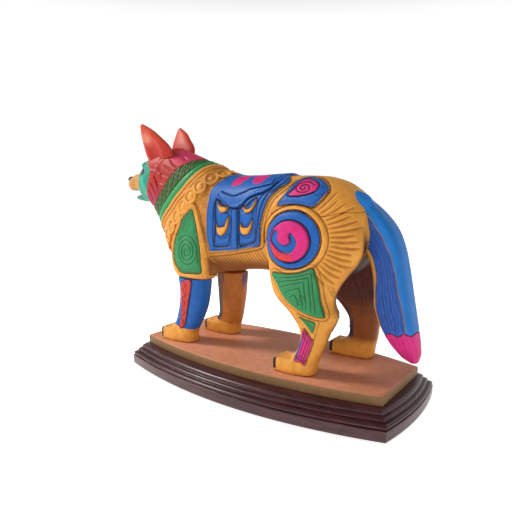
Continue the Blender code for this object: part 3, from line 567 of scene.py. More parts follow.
def paint_material(name, rough=0.40, wash_and_shade=C_DARKBROWN, wash_and_shade_share=0.85, bump=0.22, coat=0.08, mottle=0.13, grain=900.0):
    """Brushed paint over a carved surface, with a dark wash left in the cuts that also paints the shade in the cuts and
    hollows, and lighter worn edges.
    """
    mat = bpy.data.materials.new(name)
    mat.use_nodes = True
    t = mat.node_tree
    bsdf = t.nodes["Principled BSDF"]
    paint = node_at(t, "ShaderNodeAttribute", -1200, 300, attribute_name="Paint")
    # this attribute holds the dark wash together with the painted shade of cuts and hollows
    wash_shade_attr = node_at(t, "ShaderNodeAttribute", -1200, 0, attribute_name="WashAndShade")
    worn = node_at(t, "ShaderNodeAttribute", -1200, -200, attribute_name="Edge")
    where = node_at(t, "ShaderNodeTexCoord", -1400, -500)
    blot = node_at(t, "ShaderNodeTexNoise", -1000, -450)
    blot.inputs["Scale"].default_value = 170.0
    blot.inputs["Detail"].default_value = 5.0
    blot.inputs["Roughness"].default_value = 0.62
    fine = node_at(t, "ShaderNodeTexNoise", -1000, -750)
    fine.inputs["Scale"].default_value = grain
    fine.inputs["Detail"].default_value = 4.0
    t.links.new(where.outputs["Object"], blot.inputs["Vector"])
    t.links.new(where.outputs["Object"], fine.inputs["Vector"])
    tone = node_at(t, "ShaderNodeMapRange", -800, -450)
    tone.inputs["From Min"].default_value = 0.3
    tone.inputs["From Max"].default_value = 0.7
    tone.inputs["To Min"].default_value = 1.0 - mottle
    tone.inputs["To Max"].default_value = 1.0 + mottle
    t.links.new(blot.outputs["Fac"], tone.inputs["Value"])
    shade = node_at(t, "ShaderNodeVectorMath", -600, 200, operation="SCALE")
    t.links.new(paint.outputs["Color"], shade.inputs[0])
    t.links.new(tone.outputs["Result"], shade.inputs["Scale"])
    light = node_at(t, "ShaderNodeMix", -400, 200, data_type="RGBA", blend_type="SCREEN")
    t.links.new(worn.outputs["Fac"], light.inputs[0])
    t.links.new(shade.outputs["Vector"], light.inputs[6])
    light.inputs[7].default_value = (0.09, 0.07, 0.045, 1.0)
    # the wash, which also carries the painted shade of the cuts and hollows, is thicker where the noise is high
    thick = node_at(t, "ShaderNodeMath", -600, -50, operation="MULTIPLY")
    vary = node_at(t, "ShaderNodeMapRange", -800, -150)
    vary.inputs["From Min"].default_value = 0.3
    vary.inputs["From Max"].default_value = 0.6
    vary.inputs["To Min"].default_value = 0.72 * wash_and_shade_share
    vary.inputs["To Max"].default_value = 1.05 * wash_and_shade_share
    t.links.new(fine.outputs["Fac"], vary.inputs["Value"])
    t.links.new(wash_shade_attr.outputs["Fac"], thick.inputs[0])
    t.links.new(vary.outputs["Result"], thick.inputs[1])
    thick.use_clamp = True
    done = node_at(t, "ShaderNodeMix", -200, 150, data_type="RGBA")
    t.links.new(thick.outputs["Value"], done.inputs[0])
    t.links.new(light.outputs[2], done.inputs[6])
    done.inputs[7].default_value = (*wash_and_shade, 1.0)
    t.links.new(done.outputs[2], bsdf.inputs["Base Color"])
    gloss = node_at(t, "ShaderNodeMapRange", -400, -350)
    gloss.inputs["To Min"].default_value = rough
    gloss.inputs["To Max"].default_value = rough + 0.2
    t.links.new(blot.outputs["Fac"], gloss.inputs["Value"])
    t.links.new(gloss.outputs["Result"], bsdf.inputs["Roughness"])
    relief_node = node_at(t, "ShaderNodeBump", -200, -650)
    relief_node.inputs["Strength"].default_value = bump
    relief_node.inputs["Distance"].default_value = 0.0006
    t.links.new(fine.outputs["Fac"], relief_node.inputs["Height"])
    t.links.new(relief_node.outputs["Normal"], bsdf.inputs["Normal"])
    bsdf.inputs["Coat Weight"].default_value = coat
    bsdf.inputs["Coat Roughness"].default_value = 0.32
    bsdf.inputs["Specular IOR Level"].default_value = 0.2
    return mat


M_GOLD = paint_material("gold_paint_carved", 0.40, C_BROWN, 0.95)
M_BLUE = paint_material("blue_paint_carved", 0.38, col(12, 16, 34), 1.0)
M_SKY = paint_material("light_blue_paint_brushed", 0.38, col(20, 44, 96), 0.8)
M_MAGENTA = paint_material("magenta_paint_brushed", 0.42, col(36, 12, 44), 0.95)
M_GREEN = paint_material("green_paint_carved", 0.42, col(22, 54, 30), 0.95)
M_RED = paint_material("red_paint_carved", 0.42, col(70, 18, 22), 0.9)
M_HEAD = paint_material("head_paint_carved", 0.42, col(40, 24, 16), 0.9)
M_GROUND = paint_material("ground_paint_brushed", 0.50, col(70, 44, 28), 0.8, 0.3, 0.1, 0.12, 500.0)


# -------------------------------------------------------------- making pieces
def piece(name, mesh, mat, nodes, slot_name, base, sides="LR", cavity=0.55, edge=0.5, smooth_curv=2, paint_map=True,
          wash_and_shade_scale=1.0, calm=None, mirror=False):
    """An object from a field's mesh in mm, painted at its vertices."""
    pts, tris, quads = mesh
    if mirror:
        pts = pts * (1, -1, 1)
        tris, quads = tris[:, ::-1], quads[:, ::-1]
    me = bpy.data.meshes.new(name)
    n = len(pts)
    me.vertices.add(n)
    me.vertices.foreach_set("co", (pts * MM).astype(np.float32).ravel())
    loops = np.concatenate([tris.ravel(), quads.ravel()]).astype(np.int32)
    me.loops.add(len(loops))
    me.loops.foreach_set("vertex_index", loops)
    m = len(tris) + len(quads)
    me.polygons.add(m)
    starts = np.concatenate([np.arange(len(tris)) * 3, len(tris) * 3 + np.arange(len(quads)) * 4]).astype(np.int32)
    me.polygons.foreach_set("loop_start", starts)
    me.update(calc_edges=True)
    me.validate()
    me.shade_smooth()
    normal = np.empty(n * 3, np.float32)
    me.vertex_normals.foreach_get("vector", normal)
    normal = normal.reshape(-1, 3).astype(float)
    # how hollow or proud each vertex is against its neighbours
    pairs = np.concatenate([tris[:, [0, 1]], tris[:, [1, 2]], tris[:, [2, 0]], quads[:, [0, 1]], quads[:, [1, 2]],
                            quads[:, [2, 3]], quads[:, [3, 0]]])
    i = np.concatenate([pairs[:, 0], pairs[:, 1]])
    j = np.concatenate([pairs[:, 1], pairs[:, 0]])
    count = np.maximum(np.bincount(i, minlength=n), 1)
    length = np.linalg.norm(pts[pairs[:, 0]] - pts[pairs[:, 1]], axis=1).mean() if len(pairs) else 1.0
    mean = np.stack([np.bincount(i, pts[j, k], minlength=n) / count for k in range(3)], 1)
    bend = ((mean - pts) * normal).sum(1) / length ** 2
    for _ in range(smooth_curv):
        bend = 0.5 * bend + 0.5 * np.bincount(i, bend[j], minlength=n) / count
    x, y, z = pts.T
    rgb = np.array(base(x, y, z, normal), float) if callable(base) else np.tile(np.array(base, float), (n, 1))
    if calm is not None:
        bend = bend * calm(x, y, z)
    # painted shade: concave vertices get the dark wash by how hollow they are, on top of the real wash
    wash_and_shade = np.clip(bend * cavity * 2.2, 0, 1)
    ny = normal[:, 1]
    if paint_map:
        for canvas, side in ((LEFT, -1), (RIGHT, 1)):
            if ("L" if side < 0 else "R") not in sides:
                continue
            w = np.clip((side * ny - 0.08) / 0.3, 0, 1)
            alpha = canvas.read("alpha", x, z) * w
            rgb = rgb * (1 - alpha[:, None]) + canvas.read("rgb", x, z) / np.maximum(canvas.read("alpha", x, z), 1e-3)[:, None] * alpha[:, None]
            # the carved lines of the side drawings add their dark wash and painted shade
            wash_and_shade = np.maximum(wash_and_shade, canvas.read("wash_and_shade", x, z) * w * wash_and_shade_scale)
    attr = me.attributes.new("Paint", "FLOAT_COLOR", "POINT")
    attr.data.foreach_set("color", np.concatenate([np.clip(rgb, 0, 1), np.ones((n, 1))], 1).astype(np.float32).ravel())
    attr = me.attributes.new("WashAndShade", "FLOAT", "POINT")
    attr.data.foreach_set("value", np.clip(wash_and_shade, 0, 1).astype(np.float32))
    attr = me.attributes.new("Edge", "FLOAT", "POINT")
    attr.data.foreach_set("value", np.clip(-bend * edge * 2.0, 0, 1).astype(np.float32))
    me.materials.append(mat)
    ob = bpy.data.objects.new(name, me)
    bpy.context.scene.collection.objects.link(ob)
    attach(ob, "root")
    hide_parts(*nodes)
    return ob


def mix(a, b, f):
    f = np.asarray(f)[:, None]
    return np.array(a, float) * (1 - f) + np.array(b, float) * f


# ------------------------------------------------------- carved side drawings
BLANKET_EDGE = [(-38.5, 206), (-43, 199.5), (-47.5, 195.5), (-50.5, 189), (-50.5, 180), (-51.5, 171.5), (-51.5, 161.5),
                (-52, 152.5), (-52, 144), (-50.5, 137), (-49.5, 133), (-35.5, 134.5), (-26, 135.5), (-13.5, 138),
                (-2.5, 140.5), (8.5, 143), (10.5, 154.5), (11, 162.5), (13, 170.5), (15, 177.5), (17, 183.5),
                (21.5, 189), (26, 193.5), (31, 196), (33, 198.5), (30, 201.8), (23, 204.5), (20, 212), (-38, 212)]
FLAP = [(-40.5, 183), (-33, 178), (-26, 176), (-19, 175.5), (-12.5, 176.5), (-9, 180), (-4.5, 184.5), (2, 187.5),
        (9.5, 189.5), (14.5, 192), (19, 194.5), (22.5, 199)]
FLAP_2 = [(-37, 189), (-30, 187), (-22, 185.5), (-16.5, 187), (-10, 189.5), (-4.5, 192), (3, 193.5), (10.5, 195),
          (16.5, 196.5), (17, 200.5)]
WINGS = [[(27, 202.5), (24.5, 199), (21, 195), (17.5, 189.5), (14, 184), (11.5, 177), (10, 169.5), (8.5, 159), (7.5, 148)],
         [(21.5, 203), (20, 199.5), (19, 194.5), (15, 190), (10.5, 186), (8, 181), (7, 175)],
         [(31.5, 201), (29.5, 197.5), (25, 194), (20, 189)],
         [(-39.5, 187), (-41.5, 182.5), (-43, 175), (-43, 165), (-44, 152), (-44.5, 141.5), (-44.5, 135.5)]]
COLUMN_L = [(-41, 181.5), (-41, 170.5), (-40.5, 160), (-42, 148.5), (-43, 138.5), (-26.5, 140), (-24, 147), (-22.5, 159), (-23.5, 175)]
COLUMN_R = [(-13, 177), (-13, 160), (-13.5, 141.5), (-2, 143.5), (5, 146.5), (6.5, 158), (6.5, 172), (6, 184), (0, 182), (-6, 177)]
BAR = [(-20.5, 174.5), (-20, 164.5), (-20.5, 153.5), (-22.5, 138), (-16.5, 138.5), (-15, 154), (-15, 164.5), (-15.5, 174.5)]
MOONS = {
    "upper_front": [(-40, 181.5), (-37.5, 178), (-33.5, 176), (-29, 176), (-26.5, 176), (-27, 173.5), (-29.5, 171), (-33, 170.5),
                    (-36, 172), (-38.3, 176)],
    "lower_front": [(-39.5, 160.5), (-38, 157.5), (-34.5, 157), (-29.5, 158.5), (-27.5, 163), (-24.5, 167.5), (-25, 161.5),
                    (-27.5, 155), (-30.5, 151), (-34.5, 149), (-38, 151), (-39.3, 155.5)],
    "upper_rear": [(-10, 176.5), (-5, 175), (-1.5, 175.5), (1.5, 178), (5, 184), (4.4, 178.5), (1, 173.5), (-3, 171), (-6.5, 172)],
    "lower_rear": [(-11, 162), (-9, 159), (-4, 158.5), (-1, 160), (1.5, 164), (3, 167), (1.8, 159.5), (-1.5, 153.5),
                   (-6.5, 151.5), (-9.5, 152.5), (-11.5, 156.5)],
}
PADS = [[(-39, 170), (-38.5, 165.5), (-37, 160.8), (-34, 158.7), (-30, 160.5), (-27, 165), (-26.5, 170)],
        [(-11.5, 171), (-10.5, 166.5), (-8.5, 162.3), (-5.5, 160.6), (-1.5, 162.5), (1, 166.5), (2, 172)],
        [(-41, 149.5), (-41.5, 141.5), (-38, 140.8), (-29.5, 141.3), (-26.5, 143), (-24.8, 151.5), (-29, 148), (-35, 146.5)],
        [(-12.5, 151.5), (-12.5, 144), (-7, 143.8), (0.5, 146), (4.5, 148), (5.8, 158.5), (1, 151), (-6, 148.5)]]
RING_C = (47.5, 151.5)
HOOK = [(30.5, 157.5), (28.5, 150.5), (35, 144.5), (41, 141.5), (48.5, 141), (53, 144.5), (55, 150), (53, 153.5), (49, 157.5),
        (47.5, 155.5), (49, 151.5), (48, 149), (43, 147), (38.5, 148.5), (35.5, 152), (35.5, 157.5), (33, 159)]
RED_PATCH = [(27, 148), (29, 146.5), (35, 142.5), (43, 140), (48.5, 139.5), (52, 137.5), (48, 133.3), (40, 133.6), (31.5, 137.5)]
TEAR_EDGE = [(28.5, 178.5), (29, 182), (33.5, 187.5), (36.5, 193), (39.5, 197.5), (42.5, 201), (47, 202.5), (53.5, 202.5),
             (64, 200), (72, 195), (73.5, 190.5), (71.5, 185.5), (67.5, 181.5), (63.5, 178.5), (58.5, 179), (51, 180), (40, 180),
             (31.5, 178.5)]
LEAF_EDGE = [(38, 187.5), (42, 192.5), (44.5, 197.5), (47.5, 200.5), (53, 201), (62, 198), (64.5, 194.5), (62.5, 191),
             (56, 188.5), (46.5, 187)]
THIGH_EDGE = [(29, 122), (43.5, 123), (56.5, 125), (63, 127.5), (70, 130), (73.5, 122.5), (76, 114.5), (78, 104.5), (80.5, 98),
              (83, 92.5), (83, 90), (76, 90), (64.5, 92), (53.5, 96.5), (44, 103), (36.5, 112.5)]
THIGH_CUTS = [[(34, 118.5), (45, 120), (56.5, 122), (65, 124.5), (69.5, 125.5), (71, 116.5), (72.5, 108), (75, 98), (76, 93)],
              [(37, 115), (46, 117), (56, 119), (63.5, 121), (67.3, 121.5), (68.5, 112), (71, 102), (72, 94)],
              [(41, 111.5), (50.5, 114.5), (58, 116.5), (63, 117.5), (64.5, 110), (66.5, 103), (67.5, 96)],
              [(46, 107.5), (53.5, 110.5), (59, 112), (61.5, 107), (63.5, 100), (64, 95)],
              [(51, 103.5), (55.5, 106), (58.5, 102), (59.5, 97.5)]]
TRI_EDGE = [(59.5, 87.5), (65.5, 86.5), (71.5, 85.5), (75.5, 84.5), (75, 80), (73, 75), (70, 79), (65, 83.5)]
TRI_FRAME = [(56, 89.5), (63.5, 88.5), (71.5, 87), (78.5, 86), (77, 78.5), (73.5, 67.5), (70, 74.5), (62.5, 81)]
SHIN_EDGE = [(64, 77), (68, 74.5), (71, 71), (74, 68), (71.5, 59.5), (69, 52), (66.5, 44.5), (62.5, 47), (56, 47.5),
             (57.5, 57), (60.5, 66.5)]
SHIN_BLUE = [(62, 73), (61.5, 66), (58.5, 57), (56.5, 50.5), (58.5, 51), (61, 59), (63, 66.5)]
SHOULDER_EDGE = [(-71, 172), (-76.5, 168.5), (-83.5, 162), (-87, 153.5), (-92.5, 143), (-94.5, 132), (-93.5, 121), (-88, 113.5),
                 (-82, 109.5), (-71, 110), (-59, 111.5), (-59, 122.5), (-60.5, 135.5), (-63.5, 151), (-67, 164)]
FRAME_EDGE = [(-73.5, 180.5), (-70.5, 178), (-65.5, 173.5), (-61, 160.5), (-57, 148), (-54.5, 135.5), (-53.5, 122), (-53.5, 110),
              (-53.5, 106), (-71, 105.6), (-88, 106.4), (-96, 112), (-98.5, 124), (-98.2, 134), (-95.5, 146), (-91, 157), (-84.5, 166),
              (-78, 172.5)]
STRIP_EDGE = [(-81, 101.5), (-75.5, 103), (-71, 102), (-71.5, 96), (-74.5, 85), (-78, 73), (-81, 61.5), (-84.5, 52.5),
              (-91.5, 49.5), (-89, 60), (-87.5, 73.5), (-87.5, 87), (-86, 97)]


def spiral(cx, cz, rx, rz, turns, start=0.0, clockwise=False, inner=0.12, per=22):
    n = int(turns * per)
    out = []
    for i in range(n + 1):
        a = start + (-1 if clockwise else 1) * 2 * math.pi * i / per
        f = inner + (1 - inner) * i / n
        out.append((cx + rx * f * math.cos(a), cz + rz * f * math.sin(a)))
    return out


def shrunk(outline, d):
    """The outline drawn in by about d, towards its middle."""
    p = curve(outline, 3, True)
    t = np.roll(p, -1, 0) - np.roll(p, 1, 0)
    t /= np.maximum(np.linalg.norm(t, axis=1), 1e-9)[:, None]
    area = 0.5 * np.sum(p[:, 0] * np.roll(p[:, 1], -1) - np.roll(p[:, 0], -1) * p[:, 1])
    inward = np.stack([-t[:, 1], t[:, 0]], 1) * (1 if area > 0 else -1)
    return p + inward * d


def leg_shift(side, left, right):
    """Moves a drawing made for the left leg to the right leg's place."""
    lz = np.array([r[0] for r in left][::-1], float)
    dx = np.array([(b[1] + b[2] - a[1] - a[2]) / 2 for a, b in zip(left, right)][::-1], float)

    def move(pts):
        p = np.array(pts, float)
        if side > 0:
            p[:, 0] += np.interp(p[:, 1], lz, dx)
        return p
    return move


def draw(c, side):
    hind = leg_shift(side, LEFT_HIND_LEG, RIGHT_HIND_LEG)
    fore = leg_shift(side, LEFT_FORELEG, RIGHT_FORELEG)
    same = dict(smooth=False)

    # saddle blanket: a domed flap over two sunk columns with a bar between
    c.pad(COLUMN_L, -0.9, 0.7)
    c.pad(COLUMN_R, -0.9, 0.7)
    for outline in PADS:
        c.pad(outline, 0.5, 1.4)
        c.groove(outline, 1.0, 0.5, 1.0, closed=True)
    for outline in (COLUMN_L, COLUMN_R):
        c.groove(outline, 2.6, 1.1, 1.0, closed=True)
    c.groove([(-43, 138.8), (-34, 139), (-26.5, 140)], 2.2, 0.9, 1.0)
    c.groove([(-13.5, 141.8), (-5, 143), (4.5, 146.3)], 2.2, 0.9, 1.0)
    c.pad(BAR, 0.6, 1.0)
    c.groove([(-20.9, 176), (-20.8, 164.5), (-21, 153.5), (-22.6, 138)], 1.3, 0.8, 1.0)
    c.groove([(-15, 176), (-14.6, 164.5), (-14.6, 154), (-16, 138.5)], 1.3, 0.8, 1.0)
    c.groove([(x, z - 1.0) for x, z in FLAP], 3.2, 1.7, 1.0)
    c.groove(FLAP_2, 2.0, 1.0, 0.95)
    c.ridge([(x, z + 1.6) for x, z in FLAP], 2.6, 0.5)
    for line in WINGS:
        c.groove(line, 2.0, 1.1, 0.95, taper=0.4)
    c.groove(shrunk(BLANKET_EDGE, 1.9), 0.9, 0.35, 0.75, closed=True, smooth=False)
    for outline in MOONS.values():
        c.groove(outline, 2.6, 0.9, 1.0, closed=True)

    # gold piping that frames the blanket, and the belly band below it
    p1 = [(-51.5, 129), (-39, 130.5), (-27.5, 132.5), (-16.5, 135), (-4, 137.5), (7, 140.5), (11.5, 143.5), (12.5, 154.5),
          (14.5, 164.5), (16.5, 172), (19, 179), (22.5, 184.5), (27.5, 189), (32.5, 193.5), (36, 197.5), (38.5, 200)]
    p2 = [(14, 142), (14.5, 152), (14.5, 161), (17.5, 169), (20.5, 175.5), (24.5, 181.5), (30.5, 187.5), (36, 192),
          (42.5, 197)]
    c.ridge(p1, 2.4, 0.8)
    c.groove([(x + 0.4, z - 1.9) if x < 9 else (x + 1.5, z - 0.6) for x, z in p1], 1.1, 0.8, 1.0)
    c.groove([(x - 0.2, z + 1.5) if x < 9 else (x - 1.4, z + 0.4) for x, z in p1], 1.0, 0.6, 1.0)
    c.ridge([(x + 2.2, z - 0.8) for x, z in p2], 2.0, 0.6)
    for k in range(17):
        x = -52 + k * 3.9
        top = 126.3 + (x + 52.5) * 0.215
        low = 115.0 + (x + 45) * 0.14
        c.groove([(x - 2.6, top), (x + 0.4, (top + low) / 2), (x + 4.4, low)], 2.6, 1.1, 0.9, taper=0.45, line=0.6)
    c.groove([(-53, 127.2), (-36, 129.2), (-17.5, 133.2), (2, 137.7), (11, 140.5)], 0.9, 0.5, 0.9)
    for k in range(28):                                    # belly and chest: rows of short cuts
        x = -58 + k * 2.9
        z = 111.5 + 0.09 * (x + 45)
        c.groove([(x, z + 1.5), (x + 2.6, z - 6.5)], 1.0, 0.4, 0.6, taper=0.8)
    for k in range(27):                                    # fine hatching behind the shoulder
        z = 141 + 1.72 * k
        c.groove([(-60.8 + max(0, 150 - z) * 0.1, z), (-52.6, z + 0.3)], 0.9, 0.3, 0.65, taper=0.4)

    # haunch ring, disc and hook spiral
    e = lambda rx, rz, n=44: [(RING_C[0] + rx * math.cos(2 * math.pi * i / n), RING_C[1] + rz * math.sin(2 * math.pi * i / n))
                              for i in range(n)]
    c.ridge(e(30.9, 26.1), 4.8, 1.5, closed=True, **same)
    c.groove(e(33.9, 28.4), 1.5, 1.0, 0.9, closed=True, **same)
    c.groove(e(28.0, 24.1), 2.8, 1.6, 1.0, closed=True, **same)
    c.groove([(46.5 + 20.2 * math.cos(a), 150.5 + 17.5 * math.sin(a)) for a in np.linspace(0, 2 * math.pi, 40)[:-1]],
             2.6, 1.1, 1.0, closed=True, **same)
    c.pad(HOOK, -1.0, 0.8)
    c.paint(HOOK, C_BLUE)
    c.groove(HOOK, 1.9, 0.7, 1.0, closed=True)
    c.paint(RED_PATCH, col(212, 52, 60))
    c.groove([(27, 146), (35, 142.5), (43, 140), (49.5, 139.5)], 0.9, 0.4, 0.6)
    # fan of gouges behind the ring
    for k in range(18):
        a = math.radians(62 - 6.7 * k)
        r0, r1 = 1.03, 1.60 + 0.07 * math.sin(k * 2.1)
        q = [(RING_C[0] + 34.5 * r * math.cos(a - b), RING_C[1] + 28.7 * r * math.sin(a - b))
             for r, b in ((r0, 0), ((r0 + r1) / 2, 0.02), (r1, 0.0))]
        c.groove(q, 3.6, 1.5, 0.8, taper=0.55, line=0.42)
    for k in range(7):                                     # shorter cuts under the tail
        q = [(82 + 1.2 * k, 122 - 5.0 * k), (87 + 0.9 * k, 117 - 5.0 * k)]
        c.groove(q, 2.4, 0.7, 0.5, taper=0.7, line=0.5)

    # teardrop with its leaf spiral
    c.groove(TEAR_EDGE, 2.6, 1.3, 1.0, closed=True)
    c.groove(shrunk(TEAR_EDGE, 2.4), 0.9, 0.35, 0.8, closed=True, **same)
    c.groove(LEAF_EDGE, 2.2, 1.0, 1.0, closed=True)
    c.groove(spiral(52.3, 193.8, 9.6, 5.2, 2.0, 0.4, True, 0.1), 1.8, 0.7, 1.0, **same)
    c.groove([(63, 190), (67, 188), (70, 189)], 0.9, 0.4, 0.7)

    # thigh panel in a gold frame, with nested cuts and a coil
    c.pad(shrunk(hind(THIGH_EDGE), -2.6), 0.75, 1.0, **same)
    c.groove(shrunk(hind(THIGH_EDGE), -3.1), 1.1, 0.7, 0.95, closed=True, **same)
    c.groove(hind(THIGH_EDGE), 1.7, 0.9, 1.0, closed=True)
    for line in THIGH_CUTS:
        c.groove(hind(line), 1.7, 0.8, 0.75, taper=0.3)
    c.groove(hind(spiral(62.5, 103.5, 4.2, 5.2, 1.6, 1.2, True, 0.1)), 1.1, 0.5, 0.7, **same)
    c.pad(shrunk(hind(TRI_FRAME), -0.4), 0.6, 0.9, **same)
    c.groove(hind(TRI_FRAME), 1.1, 0.6, 0.95, closed=True)
    c.groove(hind(TRI_EDGE), 1.0, 0.6, 1.0, closed=True)
    c.groove(hind([(62, 86), (70, 84), (73, 80)]), 0.8, 0.35, 0.8)
    c.groove(hind([(66, 84), (71, 81.5)]), 0.7, 0.3, 0.7)
    c.groove(hind(SHIN_EDGE), 2.0, 0.9, 1.0, closed=True)
    c.paint(hind(SHIN_BLUE), C_BLUE)
    for d in (2.4, 4.9):
        c.groove(shrunk(hind(SHIN_EDGE), d), 1.3, 0.6, 1.0, closed=True, **same)
    c.stroke(hind([(62.5, 72.5), (60.5, 64), (57.8, 54), (56.6, 49)]), C_BLUE, 1.6)
    for line in ([(82, 118), (85, 110), (87.5, 102), (89, 96)], [(86, 113), (88, 104)]):
        c.groove(hind(line), 2.0, 0.5, 0.45, taper=0.8)

    # shoulder panel with its coil and frame
    c.groove(SHOULDER_EDGE, 1.7, 0.9, 1.0, closed=True)
    c.groove(shrunk(SHOULDER_EDGE, 1.9), 0.9, 0.35, 0.8, closed=True, **same)
    c.groove(spiral(-75.5, 131.5, 14.0, 16.0, 3.4, 0.2, False, 0.08), 1.8, 0.8, 0.7, **same)
    c.groove([(-70, 166), (-73, 158), (-76, 151)], 1.0, 0.45, 0.8, taper=0.6)
    c.groove([(-77, 163), (-80, 157), (-84, 149), (-88, 141)], 1.0, 0.45, 0.8, taper=0.6)
    c.groove([(-67, 158), (-67, 150), (-66, 144)], 1.0, 0.45, 0.8, taper=0.6)
    c.groove([(-62.5, 116), (-72, 113.5), (-84, 113.5)], 1.0, 0.45, 0.8, taper=0.5)
    c.groove([(-63, 139), (-62, 128), (-61.7, 119)], 1.0, 0.45, 0.8, taper=0.5)
    c.groove([(-73.5, 181.5), (-64.6, 174.5), (-60, 161), (-56, 148), (-53.3, 135.5), (-52.3, 122), (-52.5, 106)], 1.2, 0.7, 0.9)
    c.groove([(-99.5, 108), (-100.3, 124), (-99.5, 136), (-97, 147), (-92.5, 158), (-86, 167.5), (-78, 175)], 1.2, 0.6, 0.9)

    # foreleg strip with its wavy cuts, and the blue rim in front
    c.groove(fore(STRIP_EDGE), 1.8, 0.8, 1.0, closed=True)
    wave = [(-79.5 - (100 - z) * 0.16 + 2.6 * math.sin(k * 1.65), z) for k, z in enumerate(np.arange(99, 53, -2.6))]
    c.groove(fore(wave), 1.5, 0.7, 1.0)
    wave = [(-77 - (100 - z) * 0.17 + 1.4 * math.sin(k * 1.65 + 2.2), z) for k, z in enumerate(np.arange(98, 60, -2.6))]
    c.groove(fore(wave), 0.7, 0.35, 0.8)
    c.groove(fore([(-88.6, 103), (-90, 90), (-91, 74), (-92.5, 62), (-94, 52)]), 1.4, 0.6, 0.8)
    # neck and chest: long cuts that run down from the collar
    for k in range(17):
        t = k / 16
        x0, z0 = -60 - 46 * t, 186 - 40 * t
        c.groove([(x0 + 1, z0 + 2), (x0 - 2.5, z0 - 7), (x0 - 3.5, z0 - 15 - 6 * math.sin(3 * t))], 1.2, 0.5, 0.8, taper=0.8)
    for k in range(9):
        x0 = -98 - 2.4 * k
        c.groove([(x0, 140 - 1.2 * k), (x0 + 1.5, 126 - 1.5 * k), (x0 + 4.5, 114 - k)], 1.3, 0.5, 0.8, taper=0.8)
    # flank between the teardrop and the ring
    for k in range(7):
        c.groove([(25 - 0.9 * k, 178 - 4.2 * k), (20.5 - 0.6 * k, 172 - 4.4 * k)], 1.2, 0.5, 0.8, taper=0.8)


for canvas, side in ((LEFT, -1), (RIGHT, 1)):
    draw(canvas, side)


# ------------------------------------------------------------- the carved skin
BODY_MESH = skin(spine(BODY))
HEAD_MESH = skin(spine(HEAD))
HINDS = {-1: skin(leg(LEFT_HIND_LEG, -1)), 1: skin(leg(RIGHT_HIND_LEG, 1))}
FORES = {-1: skin(leg(LEFT_FORELEG, -1)), 1: skin(leg(RIGHT_FORELEG, 1))}
SHOULDERS = {s: skin(shoulder(s)) for s in (-1, 1)}


def ring_region():
    """Side view of what belongs to a hind leg, outside the gold ring."""
    pts = [(RING_C[0] + 34.0 * math.cos(a), RING_C[1] + 28.6 * math.sin(a)) for a in np.radians(np.arange(212, 40, -6))]
    return [(20, 30), (19, 112)] + pts + [(78, 172), (86, 174.5), (97, 175), (112, 176), (130, 176), (130, 30)]


def gold(x, y, z, n):
    # painted shade: faces turned down are mixed toward ochre; the strip behind the shoulder is ochre paint
    rgb = mix(C_GOLD, C_OCHRE, np.maximum(step(-n[:, 2], 0.0, 0.8) * 0.85, step(-np.abs(x + 57), -9, -3) * step(z, 138, 150) * 0.7))
    low = step(-z, -131, -121) * step(-np.abs(x + 18), -44, -32) * 0.85
    rgb = rgb * (1 - low[:, None]) + np.array(col(120, 66, 30)) * low[:, None]
    # painted shadow: dark brown on the down-facing faces under the rump, beside the tail root
    rump_painted_shadow = step(-n[:, 2], 0.0, 0.45) * step(x, 50, 64) * step(-np.abs(y), -27, -19) * step(-z, -172, -150)
    return rgb * (1 - rump_painted_shadow[:, None]) + np.array(col(62, 36, 26)) * rump_painted_shadow[:, None]


def seam_calm(x, y, z):
    """0 along the joint between the torso and a hind leg, 1 away from it."""
    return step(np.abs(inside_distance(ring_region(), x, z)), 1.0, 2.0)


# torso and the tops of the hind legs share one smooth skin
torso_field = Field((-158, -46, 96), (112, 46, 232), 0.8)
body_d = torso_field.of(BODY_MESH)
whole = body_d
for s in (-1, 1):
    whole = smin(whole, torso_field.of(SHOULDERS[s]), 6.0)
    whole = smin(whole, torso_field.of(HINDS[s]), 5.0)
whole = blur(whole, 2)
X, Z = torso_field.xz()
yy = torso_field.y[None, :, None]
region = inside_distance(ring_region(), X, Z).astype(np.float32)[:, None, :]
carved = relief(torso_field, whole)
a = np.maximum(carved, -np.minimum(np.maximum(region, yy + 10.05), np.maximum(region, 10.05 - yy)))
legs_below = (torso_field.z[None, None, :] < 104) & (torso_field.x[:, None, None] < -30)
a = np.where(legs_below, 2.4, a)
piece("torso_skin", torso_field.mesh(a, 0.0), M_GOLD, ["torso"], "gold_paint", gold, calm=seam_calm)
del carved, a

